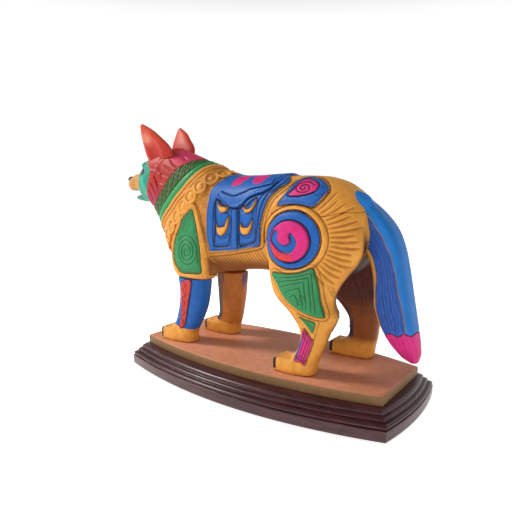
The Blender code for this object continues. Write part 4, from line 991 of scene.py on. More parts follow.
for s, label in ((-1, "left"), (1, "right")):
    f = Field((17, -52 if s < 0 else 9, 32), (113, -9 if s < 0 else 54, 184), 0.6)
    d = f.of(HINDS[s])
    upper = smin(f.of(BODY_MESH), d, 5.0)
    X, Z = f.xz()
    reg = inside_distance(ring_region(), X, Z).astype(np.float32)[:, None, :]
    zz = f.z[None, None, :]
    blend = step(zz, 104, 116).astype(np.float32)
    d = d * (1 - blend) + upper * blend
    d = blur(d, 2)
    d = relief(f, d)
    # paw: toes and the folds over them
    low = (LEFT_HIND_LEG if s < 0 else RIGHT_HIND_LEG)[-2]
    fx, py = low[1], s * abs(low[3])
    gx, gy, gz = f.grid()
    block = np.sqrt(np.maximum(np.abs(gx - fx - 12.5) - 8.5, 0) ** 2 + np.maximum(np.abs(gy - py) - 7.2, 0) ** 2
                    + np.maximum(np.abs(gz - 39.3) - 3.4, 0) ** 2) - 4.2
    d = smin(d, block.astype(np.float32), 2.0)
    for off in (-5.6, 0.0, 5.6):
        cut = np.sqrt((gy - py - off) ** 2 + np.maximum(gx - fx - 8 + np.maximum(gz - 42, 0) * 0.5, 0) ** 2) - 0.75
        d = smax(d, -cut, 0.8)
    for off, ahead in ((-8.2, 1.6), (-2.8, 0.0), (2.8, 0.0), (8.2, 1.6)):
        claw = np.sqrt(((gx - fx - 1.6 - ahead) / 0.9) ** 2 + ((gy - py - off) / 0.8) ** 2 + ((gz - 40.0) / 1.75) ** 2) - 3.0
        d = smin(d, claw * 0.8, 0.5)
    a = np.maximum(np.maximum(d, reg), (gy + 10 if s < 0 else 10 - gy))
    a = np.maximum(a, 33.55 - gz)

    def leg_paint(x, y, z, n, s=s, fx=fx, py=py):
        rgb = gold(x, y, z, n)
        outside = step(s * n[:, 1], -0.25, 0.3)
        inner = (1 - outside) * step(z, 46, 56)
        # inner faces: brown paint, turning dark higher up as painted shade under the body
        dark = mix(col(140, 78, 34), col(66, 38, 28), step(z, 84, 104))
        rgb = rgb * (1 - inner[:, None]) + dark * inner[:, None]
        if s > 0:
            front = step(-n[:, 0], 0.1, 0.4) * step(z, 50, 56)
            rgb = rgb * (1 - front[:, None]) + np.array(col(30, 32, 56)) * front[:, None]
            # painted shade: dark maroon on the right leg's inner thigh
            thigh = (1 - outside) * step(z, 66, 110)
            rgb = rgb * (1 - thigh[:, None]) + np.array(col(84, 36, 30)) * thigh[:, None]
        claw = step(-(x - fx), -5.2, -4.4) * step(-z, -46.6, -45.8) * step(z, 35.5, 36.5)
        rgb = rgb * (1 - claw[:, None]) + np.array(C_CLAW) * claw[:, None]
        return rgb
    piece(label + "_hind_leg_skin", f.mesh(a), M_GOLD, [label + "_hind_leg"], "gold_paint", leg_paint,
          sides="L" if s < 0 else "R", calm=seam_calm)
    del d, a, upper

for s, label in ((-1, "left"), (1, "right")):
    f = Field((-124, -43 if s < 0 else 4, 32), (-44, -11 if s < 0 else 36, 106), 0.5)
    d = blur(f.of(FORES[s]), 2)
    d = relief(f, d)
    low = (LEFT_FORELEG if s < 0 else RIGHT_FORELEG)[-2]
    fx, py = low[1], s * abs(low[3])
    gx, gy, gz = f.grid()
    block = np.sqrt(np.maximum(np.abs(gx - fx - 12.5) - 8.5, 0) ** 2 + np.maximum(np.abs(gy - py) - 7.2, 0) ** 2
                    + np.maximum(np.abs(gz - 39.3) - 3.4, 0) ** 2) - 4.2
    d = smin(d, block.astype(np.float32), 2.0)
    for off in (-5.6, 0.0, 5.6):
        cut = np.sqrt((gy - py - off) ** 2 + np.maximum(gx - fx - 8 + np.maximum(gz - 42, 0) * 0.5, 0) ** 2) - 0.75
        d = smax(d, -cut, 0.8)
    for off, ahead in ((-8.2, 1.6), (-2.8, 0.0), (2.8, 0.0), (8.2, 1.6)):
        claw = np.sqrt(((gx - fx - 1.6 - ahead) / 0.9) ** 2 + ((gy - py - off) / 0.8) ** 2 + ((gz - 40.0) / 1.75) ** 2) - 3.0
        d = smin(d, claw * 0.8, 0.5)
    a = np.maximum(d, 33.55 - gz)
    a = np.maximum(a, gz - 105.2)

    def fore_paint(x, y, z, n, s=s, fx=fx, py=py):
        edge_z = 49.5 + (x + 84) * -0.15
        blue = step(z, edge_z - 0.5, edge_z + 0.5)
        if s < 0:
            skin_rgb = np.tile(np.array(C_BLUE), (len(x), 1))
            dark = step(n[:, 1], -0.1, 0.5)
            skin_rgb = skin_rgb * (1 - dark[:, None]) + np.array(col(24, 62, 130)) * dark[:, None]
        else:
            skin_rgb = np.tile(np.array(col(190, 112, 46)), (len(x), 1))
            front = step(-n[:, 0], 0.0, 0.3)
            skin_rgb = skin_rgb * (1 - front[:, None]) + np.array(col(24, 30, 62)) * front[:, None]
            rear = step(n[:, 0], 0.9, 0.99) * step(z, 84, 98) * 0.8
            skin_rgb = skin_rgb * (1 - rear[:, None]) + np.array(col(30, 52, 110)) * rear[:, None]
        rgb = gold(x, y, z, n)
        rgb = rgb * (1 - blue[:, None]) + skin_rgb * blue[:, None]
        claw = step(-(x - fx), -5.2, -4.4) * step(-z, -46.6, -45.8) * step(z, 35.5, 36.5)
        return rgb * (1 - claw[:, None]) + np.array(C_CLAW) * claw[:, None]
    piece(label + "_foreleg_skin", f.mesh(a), M_BLUE if s < 0 else M_GOLD, [label + "_foreleg"],
          "blue_paint" if s < 0 else "gold_paint", fore_paint, sides="L" if s < 0 else "R")

# ------------------------------------------------ sheets glued on the skin
half = Field((-128, -50, 100), (112, 0, 216), 0.5, band=6.0)
HALF = smin(half.of(BODY_MESH), half.of(SHOULDERS[-1]), 6.0)
HALF = smin(HALF, half.of(HINDS[-1]), 5.0)
HALF = blur(HALF, 3)


def crop(field, data, low, high):
    """A smaller box of a field."""
    i0 = [max(int(math.floor(low[k] / field.v)) - int(field.i0[k]), 0) for k in range(3)]
    i1 = [min(int(math.ceil(high[k] / field.v)) - int(field.i0[k]) + 1, field.shape[k]) for k in range(3)]
    f = Field((0, 0, 0), (0, 0, 0), field.v)
    f.i0 = field.i0 + np.array(i0)
    f.shape = tuple(b - a for a, b in zip(i0, i1))
    f.x, f.y, f.z = ((f.i0[k] + np.arange(f.shape[k])) * f.v for k in range(3))
    return f, data[i0[0]:i1[0], i0[1]:i1[1], i0[2]:i1[2]]


def sheet(outline, low, high, y0=-50.0, y1=-1.0, field=None, data=None, soft=0.9, smooth=True, both=False, crown=0.0, amount=1.0):
    """A sheet between two distances from the skin, cut to a side-view outline, with the drawings carved in."""
    field = half if field is None else field
    data = HALF if data is None else data
    pts = curve(outline, 4, True) if smooth else np.asarray(outline, float)
    lo, hi = pts.min(0), pts.max(0)
    f, d = crop(field, data, (lo[0] - 1.5, y0 - 1, lo[1] - 1.5), (hi[0] + 1.5, y1 + 1, hi[1] + 1.5))
    if both:
        d = np.concatenate([d, d[:, -2::-1]], axis=1)
        f.shape = d.shape
        f.y = (f.i0[1] + np.arange(f.shape[1])) * f.v
    X, Z = f.xz()
    sd = inside_distance(pts, X, Z).astype(np.float32)[:, None, :]
    top = relief(f, d, amount) - high - crown * np.clip(-sd / 5, 0, 1)
    a = smax(top, sd, soft)
    a = np.maximum(a, low - d)
    if not both:
        gy = f.y[None, :, None]
        a = np.maximum(a, np.maximum(y0 - gy, gy - y1))
    return f.mesh(a)


def pair(label, mesh, mat, slot_name, base, **kw):
    """The left piece and its twin on the right."""
    piece("left_" + label + "_skin", mesh, mat, ["left_" + label], slot_name, base, sides="L", **kw)
    piece("right_" + label + "_skin", mesh, mat, ["right_" + label], slot_name, base, sides="R", mirror=True, **kw)


def blanket_paint(x, y, z, n):
    rgb = np.tile(np.array(C_BLUE), (len(x), 1)).astype(float)
    # two magenta petals on each side of the back
    ay = -np.abs(y)
    for outline in ([(-29.5, -22), (-24.5, -23.5), (-17.5, -20), (-15, -8.5), (-20, -6.5), (-27.5, -10.5)],
                    [(-5.5, -21), (3.5, -21.5), (7.5, -14), (4, -7.5), (-8, -7.5), (-10, -12)]):
        sd = inside_distance(curve(outline, 4, True), x, ay)
        f = np.clip(0.5 - sd / 0.6, 0, 1) * (z > 185)
        rgb = rgb * (1 - f[:, None]) + np.array(C_MAGENTA) * f[:, None]
    return rgb


piece("saddle_blanket_skin", sheet(BLANKET_EDGE, 0.2, 2.3, both=True, y1=0.0), M_BLUE, ["saddle_blanket"], "blue_paint",
      blanket_paint)
for key, outline in MOONS.items():
    pair("crescent_" + key, sheet(outline, 0.5, 2.6, soft=1.3, crown=0.5, amount=0.0), M_GOLD, "gold_paint", C_GOLD)

ell = lambda cx, cz, rx, rz, n=48: [(cx + rx * math.cos(2 * math.pi * i / n), cz + rz * math.sin(2 * math.pi * i / n))
                                    for i in range(n)]
pair("haunch_disc", sheet(ell(*RING_C, 28.3, 24.4), 0.1, 1.5, y1=-18, smooth=False), M_BLUE, "blue_paint", C_BLUE)
pair("haunch_spiral", sheet(ell(46.5, 150.5, 19.8, 17.1), 1.0, 2.7, y1=-20, soft=1.2, smooth=False), M_MAGENTA,
     "magenta_paint", C_MAGENTA)
pair("rump_teardrop", sheet(TEAR_EDGE, 0.2, 1.6, y1=-3), M_BLUE, "blue_paint", C_BLUE)
pair("teardrop_spiral", sheet(LEAF_EDGE, 0.9, 2.3, y1=-5), M_MAGENTA, "magenta_paint", C_MAGENTA)
pair("shoulder_panel", sheet(SHOULDER_EDGE, 0.1, 1.5, y1=-18), M_GREEN, "green_paint", C_GREEN)


def band_between(outer, inner):
    """One ring-shaped outline test: inside outer, outside inner."""
    o, i = curve(outer, 4, True), curve(inner, 4, True)
    return lambda X, Z: np.maximum(inside_distance(o, X, Z), -inside_distance(i, X, Z))


def ring_sheet(outer, inner, low, high, y1, soft=1.0):
    test = band_between(outer, inner)
    pts = np.asarray(outer, float)
    f, d = crop(half, HALF, (pts[:, 0].min() - 2, -50, pts[:, 1].min() - 2), (pts[:, 0].max() + 2, y1 + 1, pts[:, 1].max() + 2))
    X, Z = f.xz()
    sd = test(X, Z).astype(np.float32)[:, None, :]
    a = smax(relief(f, d) - high, sd, soft)
    a = np.maximum(np.maximum(a, low - d), f.y[None, :, None] - y1)
    return f.mesh(a)


pair("shoulder_frame", ring_sheet(FRAME_EDGE, shrunk(SHOULDER_EDGE, -0.5), 0.1, 1.9, -18.0), M_GOLD, "gold_paint", C_GOLD)

# panels on the lower hind legs and the forelegs
for s, label in ((-1, "left"), (1, "right")):
    hind = leg_shift(s, LEFT_HIND_LEG, RIGHT_HIND_LEG)
    y_out, y_in = (-52, -26) if s < 0 else (35, 54)
    f = Field((26, y_out, 42), (112, y_in, 134), 0.5)
    d = f.of(HINDS[s])
    if s < 0:
        d = smin(d, f.of(BODY_MESH), 5.0)
    d = blur(d, 3)
    for part, outline, mat, slot_name, base in (("thigh_panel", THIGH_EDGE, M_GREEN, "green_paint", C_GREEN),
                                                ("shin_triangle", TRI_EDGE, M_GREEN, "green_paint", C_GREEN),
                                                ("shin_panel", SHIN_EDGE, M_MAGENTA, "magenta_paint", C_MAGENTA)):
        mesh = sheet(hind(outline), 0.1, 1.4 if part == "thigh_panel" else 1.2, y_out, y_in, f, d)
        piece(f"{label}_{part}_skin", mesh, mat, [f"{label}_{part}"], slot_name, base, sides="L" if s < 0 else "R")
    fore = leg_shift(s, LEFT_FORELEG, RIGHT_FORELEG)
    y_out, y_in = (-43, -27) if s < 0 else (20, 36)
    f = Field((-100, y_out, 44), (-50, y_in, 104), 0.5)
    d = blur(f.of(FORES[s]), 2)
    piece(label + "_foreleg_strip_skin", sheet(fore(STRIP_EDGE), 0.1, 1.2, y_out, y_in, f, d), M_RED,
          [label + "_foreleg_strip"], "red_paint", col(196, 52, 44), sides="L" if s < 0 else "R")

# -------------------------------------------------------- collar and scarf
neck = Field((-172, -44, 118), (-24, 0, 236), 0.5)
NECK = smin(neck.of(BODY_MESH), neck.of(SHOULDERS[-1]), 6.0)
NECK = blur(smin(NECK, neck.of(HEAD_MESH), 2.0), 3)

COLLAR_FRONT = [(-60, 240), (-66, 219.5), (-71, 213.0), (-77.5, 205), (-83.5, 198.5), (-90, 191.5), (-99, 184), (-109, 174.5),
                (-119.5, 166), (-132, 154), (-150, 140), (-172, 128)]
COLLAR_REAR = [(-34, 240), (-38, 212), (-43, 204.5), (-49.5, 201.5), (-55, 197), (-62, 192.5), (-67, 187), (-73.5, 181.5),
               (-79, 176), (-85.5, 167), (-91, 161.5), (-97, 154.5), (-103, 148), (-110, 141), (-118, 133), (-130, 122), (-150, 108)]


def half_to_full(f, d):
    d = np.concatenate([d, d[:, -2::-1]], axis=1)
    f.shape = d.shape
    f.y = (f.i0[1] + np.arange(f.shape[1])) * f.v
    return f, d


def ball(f, centre, radii):
    gx, gy, gz = f.grid()
    q = np.sqrt(((gx - centre[0]) / radii[0]) ** 2 + ((gy - centre[1]) / radii[1]) ** 2 + ((gz - centre[2]) / radii[2]) ** 2)
    return (q - 1) * min(radii)


def collar():
    f, d = crop(neck, NECK, (-160, -46, 118), (-30, 0, 224))
    X, Z = f.xz()
    outline = COLLAR_FRONT + COLLAR_REAR[::-1]
    sd = inside_distance(np.array(outline), X, Z).astype(np.float32)[:, None, :]
    a = smax(d - 1.5, sd + 3.0, 1.0)
    # scallops along the rear edge, each with a rim round a bead
    path = curve([(-44, 2, 209), (-48, -11, 207.5), (-54, -20, 203), (-61.5, -26, 196.5), (-70, -30, 188.5), (-79, -32.5, 179),
                  (-87.5, -33.5, 169.5), (-96, -33.5, 160.5), (-105, -32, 151), (-114, -28, 142), (-122, -21, 134),
                  (-128, -11, 128), (-131, 0, 125)], 8)
    length = np.concatenate([[0], np.cumsum(np.linalg.norm(np.diff(path, axis=0), axis=1))])
    domes = int(round(length[-1] / 14.2))
    gx, gy, gz = f.grid()
    cups = np.full(d.shape, 9.0, np.float32)
    for k in range(domes + 1):
        c = [np.interp(k * length[-1] / domes, length, path[:, j]) for j in range(3)]
        if c[1] > 1:
            continue
        r = np.sqrt((gx - c[0]) ** 2 + (gy - c[1]) ** 2 + (gz - c[2]) ** 2)
        plate = smax(r - 7.4, d - 1.3, 0.8)
        rim = np.sqrt((r - 6.6) ** 2 + (d - 1.3) ** 2) - 1.25
        bead = smax(r - 3.6, d - 2.4 + 0.09 * r * r, 1.0)
        cups = np.minimum(cups, np.minimum(np.minimum(plate, rim), bead))
    a = smin(a, cups, 0.5)
    front = np.array(COLLAR_FRONT)
    cord, _ = line_distance(curve(front + (2.6, -2.0), 4), X, Z)
    cord = cord.astype(np.float32)[:, None, :]
    a = smin(a, np.sqrt(cord ** 2 + (d - 0.9) ** 2) - 1.9, 0.4)
    cord, _ = line_distance(curve(front + (6.2, -4.6), 4), X, Z)
    cord = cord.astype(np.float32)[:, None, :]
    a = smin(a, np.sqrt(cord ** 2 + (d - 0.9) ** 2) - 1.6, 0.4)
    a = np.maximum(a, -1.2 - d)
    f, a = half_to_full(f, a)
    return f.mesh(a)


piece("scalloped_collar_skin", collar(), M_GOLD, ["scalloped_collar"], "gold_paint", gold, cavity=0.8, paint_map=False)


def scarf():
    f, d = crop(neck, NECK, (-168, -46, 134), (-54, 0, 232))
    X, Z = f.xz()
    head_edge = [(-76, 240), (-80, 224), (-86.5, 219.5), (-92.5, 216), (-99, 212), (-106, 205.5), (-115, 195), (-124, 186), (-133, 177.5),
                 (-142, 171.5), (-170, 166)]
    outline = head_edge + [(-170, 130)] + [(x + 1.5, z - 1.0) for x, z in COLLAR_FRONT[-2::-1]]
    sd = inside_distance(np.array(outline), X, Z).astype(np.float32)[:, None, :]
    # how far across the band, 0 at the collar and 1 at the head
    d0, u = line_distance(curve(COLLAR_FRONT, 4), X, Z)
    d1, _ = line_distance(curve(head_edge, 4), X, Z)
    share = d0 / (d0 + d1 + 1e-6)
    run = u * 190.0
    # a plain roll next to the collar, leaves over the rest
    roll = np.sqrt(np.clip(1 - ((share - 0.17) / 0.17) ** 2, 0, 1)) * 1.3
    lap = np.abs(((run + 26 * (share - 0.35)) / 6.0) % 1.0 - 0.5) * 2
    lap2 = np.abs(((run - 20 * (share - 0.35)) / 8.0) % 1.0 - 0.5) * 2
    leafy = (np.clip(lap, 0, 1) * 0.75 + np.clip(lap2, 0, 1) * 0.55) * step(share, 0.34, 0.42)
    high = 1.0 + roll + leafy - 0.9 * np.exp(-((share - 0.36) / 0.035) ** 2)
    a = smax(d - high.astype(np.float32)[:, None, :], sd, 0.9)
    a = np.maximum(a, -0.6 - d)
    f, a = half_to_full(f, a)
    return f.mesh(a)


def scarf_paint(x, y, z, n):
    d0, u = line_distance(curve(COLLAR_FRONT, 4), x, z)
    rgb = mix(col(52, 146, 84), col(34, 88, 50), step(d0, 5.5, 8.5))
    olive = 0.5 + 0.5 * np.sin(u * 95 + d0 * 0.8)
    return mix((0, 0, 0), (1, 1, 1), np.ones(len(x))) * (rgb * (1 - (olive * step(d0, 6, 9) * 0.5)[:, None])
                                                        + np.array(col(120, 110, 44)) * (olive * step(d0, 6, 9) * 0.5)[:, None])


piece("neck_scarf_skin", scarf(), M_GREEN, ["neck_scarf"], "green_paint", scarf_paint, cavity=0.8, paint_map=False)

# -------------------------------------------------------------------- head
hf = Field((-202, -26, 168), (-112, 0, 232), 0.4)
head_d = hf.of(HEAD_MESH)
gx, gy, gz = hf.grid()
# cheeks, brow and muzzle
head_d = smin(head_d, ball(hf, (-147, -14.5, 196), (13, 8.5, 12)), 5.0)
head_d = smin(head_d, ball(hf, (-155.5, -11.0, 213.5), (8, 5.5, 4.2)), 3.0)
head_d = smin(head_d, ball(hf, (-186, -4.5, 192.5), (9, 5.6, 6.0)), 3.0)
head_d = smax(head_d, -ball(hf, (-160.5, -15.5, 206.5), (6.0, 3.6, 3.8)), 2.0)
mouth = inside_distance(np.array([(-205, 186), (-205, 160), (-172, 160), (-169, 176), (-167, 184), (-171, 186.8), (-180, 187)]),
                        *hf.xz()).astype(np.float32)[:, None, :]
head_d = smax(head_d, -mouth, 1.2)
# lip, nostril wing and the crease behind the muzzle
Xh, Zh = hf.xz()
for line, wide, deep in (([(-192, 190), (-184, 188.6), (-175, 188.2), (-168, 187)], 1.0, 0.7),
                         ([(-177, 205), (-172, 199), (-171, 192), (-173, 187)], 1.2, 0.6),
                         ([(-152, 216), (-160, 213), (-166, 209.5)], 1.2, 0.7),
                         ([(-168, 204), (-163, 203), (-158, 203.2), (-152, 205.5)], 0.9, 0.6),
                         ([(-164, 198), (-158, 193), (-156, 186)], 1.0, 0.5)):
    dd, _ = line_distance(curve(line, 5), Xh, Zh)
    head_d = head_d + (np.clip(1 - dd / wide, 0, 1) * deep).astype(np.float32)[:, None, :] * np.clip(-hf.ny(head_d) * 1.5, 0, 1)
f, a = half_to_full(hf, head_d)


def head_paint(x, y, z, n):
    rgb = np.tile(np.array(C_TEAL), (len(x), 1)).astype(float)
    muzzle = step(-x, 165, 170) * step(z, 186, 188.5)
    rgb = rgb * (1 - muzzle[:, None]) + np.array(C_TAN) * muzzle[:, None]
    top = step(z - 0.35 * np.abs(y) + 0.25 * (x + 155), 213.5, 217)
    rgb = rgb * (1 - top[:, None]) + np.array(col(196, 130, 60)) * top[:, None]
    strip = step(-np.abs(x + 155 + (z - 198) * 0.22), -5.5, -3.5) * step(-z, -206, -203)
    rgb = rgb * (1 - strip[:, None]) + np.array(col(40, 158, 132)) * strip[:, None]
    rim = step(-np.hypot((x + 157) / 1.5, z - 207.3), -3.9, -3.0) * step(np.abs(y), 9, 11)
    rgb = rgb * (1 - rim[:, None]) + np.array(col(22, 22, 20)) * rim[:, None]
    return rgb


piece("head_skin", f.mesh(a), M_HEAD, ["head"], "head_paint", head_paint, paint_map=False)

jf = Field((-194, -14, 170), (-152, 14, 189), 0.4)
jaw_d = blur(jf.of(skin(spine(JAW))), 2)


def jaw_paint(x, y, z, n):
    rgb = np.tile(np.array(col(38, 132, 112)), (len(x), 1)).astype(float)
    inside = step(n[:, 2], 0.4, 0.8)
    return rgb * (1 - inside[:, None]) + np.array(col(150, 40, 44)) * inside[:, None]


piece("lower_jaw_skin", jf.mesh(jaw_d), M_HEAD, ["lower_jaw"], "head_paint", jaw_paint, paint_map=False)

# hood: a carved shell with swept locks
HOOD_EDGE = [(-80, 240), (-84, 222), (-87, 217.5), (-94.5, 213.5), (-101.5, 209), (-107, 203.5), (-115, 194), (-124, 185), (-133, 177),
             (-141, 172), (-148, 173), (-150, 181), (-148, 189), (-142.5, 200), (-140, 208), (-144.5, 214), (-149, 222), (-148, 240)]


def hood():
    f, d = crop(neck, NECK, (-156, -46, 164), (-76, 0, 236))
    X, Z = f.xz()
    sd = inside_distance(curve(HOOD_EDGE, 3, True), X, Z).astype(np.float32)[:, None, :]
    h = np.full(X.shape, 2.2)
    locks = [[(-113, 218.5), (-107, 214), (-100, 211)], [(-118.5, 212.5), (-110, 209), (-104, 206.5)],
             [(-121, 205), (-113, 203), (-108, 200.5)], [(-124, 197), (-118, 195.5), (-113, 193)],
             [(-130, 215), (-124, 208), (-119, 198)], [(-136, 207), (-130, 199), (-126, 190)],
             [(-140, 199), (-135, 191), (-131, 183)], [(-144, 190), (-140, 183), (-137, 177)],
             [(-148, 211), (-140, 210.5), (-134, 210), (-129.5, 209), (-125, 206)], [(-146, 183), (-144, 178), (-142, 174)],
             [(-101, 221), (-94, 218), (-88, 218)], [(-132, 203), (-127, 194), (-124, 187)], [(-136, 196), (-131, 188), (-128, 182)]]
    for line in locks:
        dd, u = line_distance(curve(line, 5), X, Z)
        h -= np.clip(1 - dd / 1.6, 0, 1) * 0.9 * (1 - 0.6 * np.abs(2 * u - 1) ** 3)
    a = smax(d - h.astype(np.float32)[:, None, :], sd, 1.2)
    a = np.maximum(a, -0.6 - d)
    f, a = half_to_full(f, a)
    return f.mesh(a)


def hood_paint(x, y, z, n):
    rgb = mix(col(166, 34, 26), col(158, 28, 60), step(-z, -198, -180))
    top = step(z, 208, 220)
    rgb = rgb * (1 - top[:, None]) + np.array(col(170, 42, 30)) * top[:, None]
    nape = step(x, -118, -102) * step(z, 212, 218)
    return rgb * (1 - nape[:, None]) + np.array(col(196, 52, 88)) * nape[:, None] 


piece("hood_skin", hood(), M_RED, ["hood"], "red_paint", hood_paint, cavity=0.8, paint_map=False)

# ears: cupped, with the hollow turned forward and out
ear_rows = [((a, y, b), (c, y, d), (0, hw, 0), 2.2, 1.0) for a, b, c, d, hw, y in EAR]
ef = Field((-152, -36, 208), (-106, -4, 256), 0.4)
ear = blur(ef.of(skin(ear_rows, 8, 64)), 1)
inner_rows = [((-141.5, -22.0, 216), (-121, -22.0, 222), (0, 4.0, 0), 2.0, 1.0),
              ((-143.5, -24.0, 226), (-122.5, -24.0, 230), (0, 4.0, 0), 2.0, 1.0),
              ((-145, -26.0, 235.5), (-128, -26.0, 238.5), (0, 3.4, 0), 2.0, 1.0),
              ((-145, -28.5, 243.5), (-135, -28.5, 245), (0, 2.4, 0), 2.0, 1.0),
              ((-144, -29.5, 249), (-141, -29.5, 249.5), (0, 1.0, 0), 2.0, 1.0)]
ear = smax(ear, -ef.of(skin(inner_rows, 6, 48)), 0.8)


def ear_paint(x, y, z, n):
    rgb = mix(col(176, 44, 32), col(196, 66, 42), step(z, 224, 246))
    # painted highlight: a pale salmon patch on the upper part of the left ear
    ear_painted_highlight = np.exp(-((x + 141) / 5.5) ** 2 - ((z - 239) / 5.0) ** 2) * (y < 0)
    rgb = rgb * (1 - 0.8 * ear_painted_highlight[:, None]) + np.array(col(240, 156, 128)) * 0.8 * ear_painted_highlight[:, None]
    hollow = step(np.abs(y) - (z - 214) * 0.3, 16.2, 18.5) * step(-n[:, 0], 0.2, 0.6)
    return rgb * (1 - 0.6 * hollow[:, None]) + np.array(col(150, 44, 40)) * 0.6 * hollow[:, None]


pair("ear", ef.mesh(ear), M_RED, "red_paint", ear_paint, paint_map=False)

# -------------------------------------------------------------------- tail
tf = Field((70, -18, 48), (158, 18, 202), 0.6)
tail_d = blur(tf.of(skin(tail_rows(TAIL), 6, 96)), 1)
tail_d = smin(tail_d, ball(tf, (91.5, -5.5, 183.0), (12.0, 8.0, 7.6)).astype(np.float32), 4.0)
X, Z = tf.xz()
gy = tf.y[None, :, None]
SKY_LINE = [(80, 199), (86, 190.5), (91, 184.5), (98, 177), (107.5, 167.5), (117.5, 155.5), (125, 142), (130.5, 127), (134, 111),
            (138.5, 97.5), (142.5, 80), (144, 72)]
GOLD_LINE = [(84, 180), (88, 170), (92, 160), (98.5, 150.5), (105.5, 143), (110.5, 133), (112.5, 122), (112.5, 110), (113, 98),
             (115.5, 88), (119, 79), (122, 70)]
TIP = [(105, 73.5), (123, 73.5), (129, 76.5), (136, 74.5), (141, 79), (147, 77.5), (151, 81), (165, 82), (165, 40), (105, 40)]
sky = inside_distance(np.array(SKY_LINE + [(165, 60), (165, 205), (80, 205)]), X, Z).astype(np.float32)[:, None, :]
rear_of_gold = inside_distance(np.concatenate([curve(GOLD_LINE, 4), [(165, 60), (165, 205), (80, 205), (80, 180)]]), X, Z)
rear_of_gold = rear_of_gold.astype(np.float32)[:, None, :]
tip = inside_distance(np.array(TIP), X, Z).astype(np.float32)[:, None, :]
cuts = np.zeros(X.shape)
for k in range(7):                                    # feather cuts down the blue side
    a, b = curve(SKY_LINE[1:], 4), curve(GOLD_LINE, 4)
    n = min(len(a), len(b))
    a, b = a[np.linspace(0, len(a) - 1, 40).astype(int)], b[np.linspace(0, len(b) - 1, 40).astype(int)]
    share = (k + 0.6) / 7
    line = a * (1 - share) + b * share
    line[:, 0] += 0.5 * np.sin(line[:, 1] * 0.35 + k)
    dd, u = line_distance(line[2:-3], X, Z)
    cuts = np.maximum(cuts, np.clip(1 - dd / (0.8 if k % 2 else 1.1), 0, 1) * (0.55 if k % 2 else 0.8))
side_w = np.clip((np.abs(tf.ny(tail_d)) - 0.3) / 0.4, 0, 1)
carved_tail = tail_d + cuts.astype(np.float32)[:, None, :] * side_w
core = np.minimum(tail_d + 1.3, np.maximum(tail_d, -rear_of_gold + 0.25))
core = np.maximum(core, -tip + 0.2)


def tail_core_paint(x, y, z, n):
    return mix(C_GOLD, C_OCHRE, step(-n[:, 0], 0.2, 0.8) * 0.7)


piece("tail_core_skin", tf.mesh(core), M_GOLD, ["tail_core"], "gold_paint", tail_core_paint, paint_map=False)
strip = smax(smax(tail_d, sky + 0.35, 0.9), -tip + 0.25, 0.8)
strip = np.maximum(strip, -(tail_d + 2.2))
# long shallow brush channels on the rear face
chan = 0.22 * np.clip(np.sin(gy * 1.55 + 0.5 * np.sin(tf.z * 0.06)[None, None, :]), 0, 1) ** 2
strip = strip + chan.astype(np.float32) * (1 - side_w)
piece("tail_top_strip_skin", tf.mesh(strip), M_SKY, ["tail_top_strip"], "light_blue_paint", C_SKY, paint_map=False, cavity=0.8)
blue = smax(smax(carved_tail, -sky + 0.35, 0.7), rear_of_gold + 0.2, 0.7)
blue = smax(blue, -tip + 0.25, 0.6)
blue = np.maximum(np.maximum(blue, -(tail_d + 2.2)), gy + 0.4)
pair("tail_panel", tf.mesh(blue), M_BLUE, "blue_paint", col(40, 88, 172), paint_map=False, cavity=0.9)
tip_d = smax(tail_d, tip + 0.1, 0.8)
for k in range(5):
    line = [(126 + 6 * k, 79), (131 + 5.0 * k, 70), (137 + 3.6 * k, 61), (143 + 2.0 * k, 54)]
    dd, u = line_distance(curve(line, 4), X, Z)
    tip_d = tip_d + (np.clip(1 - dd / 0.9, 0, 1) * 0.45).astype(np.float32)[:, None, :] * side_w


def tip_paint(x, y, z, n):
    return mix(col(214, 40, 124), col(176, 28, 92), step(-z, -70, -52) * 0.6)


piece("tail_tip_skin", tf.mesh(tip_d), M_MAGENTA, ["tail_tip"], "magenta_paint", tip_paint, paint_map=False, cavity=0.8)

# ------------------------------------------------------------------- base
def plan(inset_end, inset_side, side_bow, end_bow, per=64):
    hx, hy = PLINTH_LENGTH / 2 - inset_end, PLINTH_WIDTH / 2 - inset_side
    t = -1 + 2 * np.arange(per) / per
    q = -1 + 2 * np.arange(per // 2) / (per // 2)
    return np.concatenate([np.stack([t * hx, -(hy + side_bow * (1 - t * t))], 1),
                           np.stack([hx + end_bow * (1 - q * q), q * hy], 1),
                           np.stack([-t * hx, hy + side_bow * (1 - t * t)], 1),
                           np.stack([-(hx + end_bow * (1 - q * q)), -q * hy], 1)])


def stack(levels):
    """Plan outlines at rising levels as (points, triangles, quads)."""
    n = len(levels[0][1])
    pts = np.concatenate([np.concatenate([xy, np.full((n, 1), z)], 1) for z, xy in levels])
    k = np.arange(n)
    m = len(levels)
    quads = np.concatenate([np.stack([i * n + k, i * n + (k + 1) % n, (i + 1) * n + (k + 1) % n, (i + 1) * n + k], 1)
                            for i in range(m - 1)])
    pts = np.concatenate([pts, [[0, 0, levels[0][0]]], [[0, 0, levels[-1][0]]]])
    tris = np.concatenate([np.stack([(k + 1) % n, k, np.full(n, m * n)], 1),
                           np.stack([(m - 1) * n + k, (m - 1) * n + (k + 1) % n, np.full(n, m * n + 1)], 1)])
    return pts, tris, quads


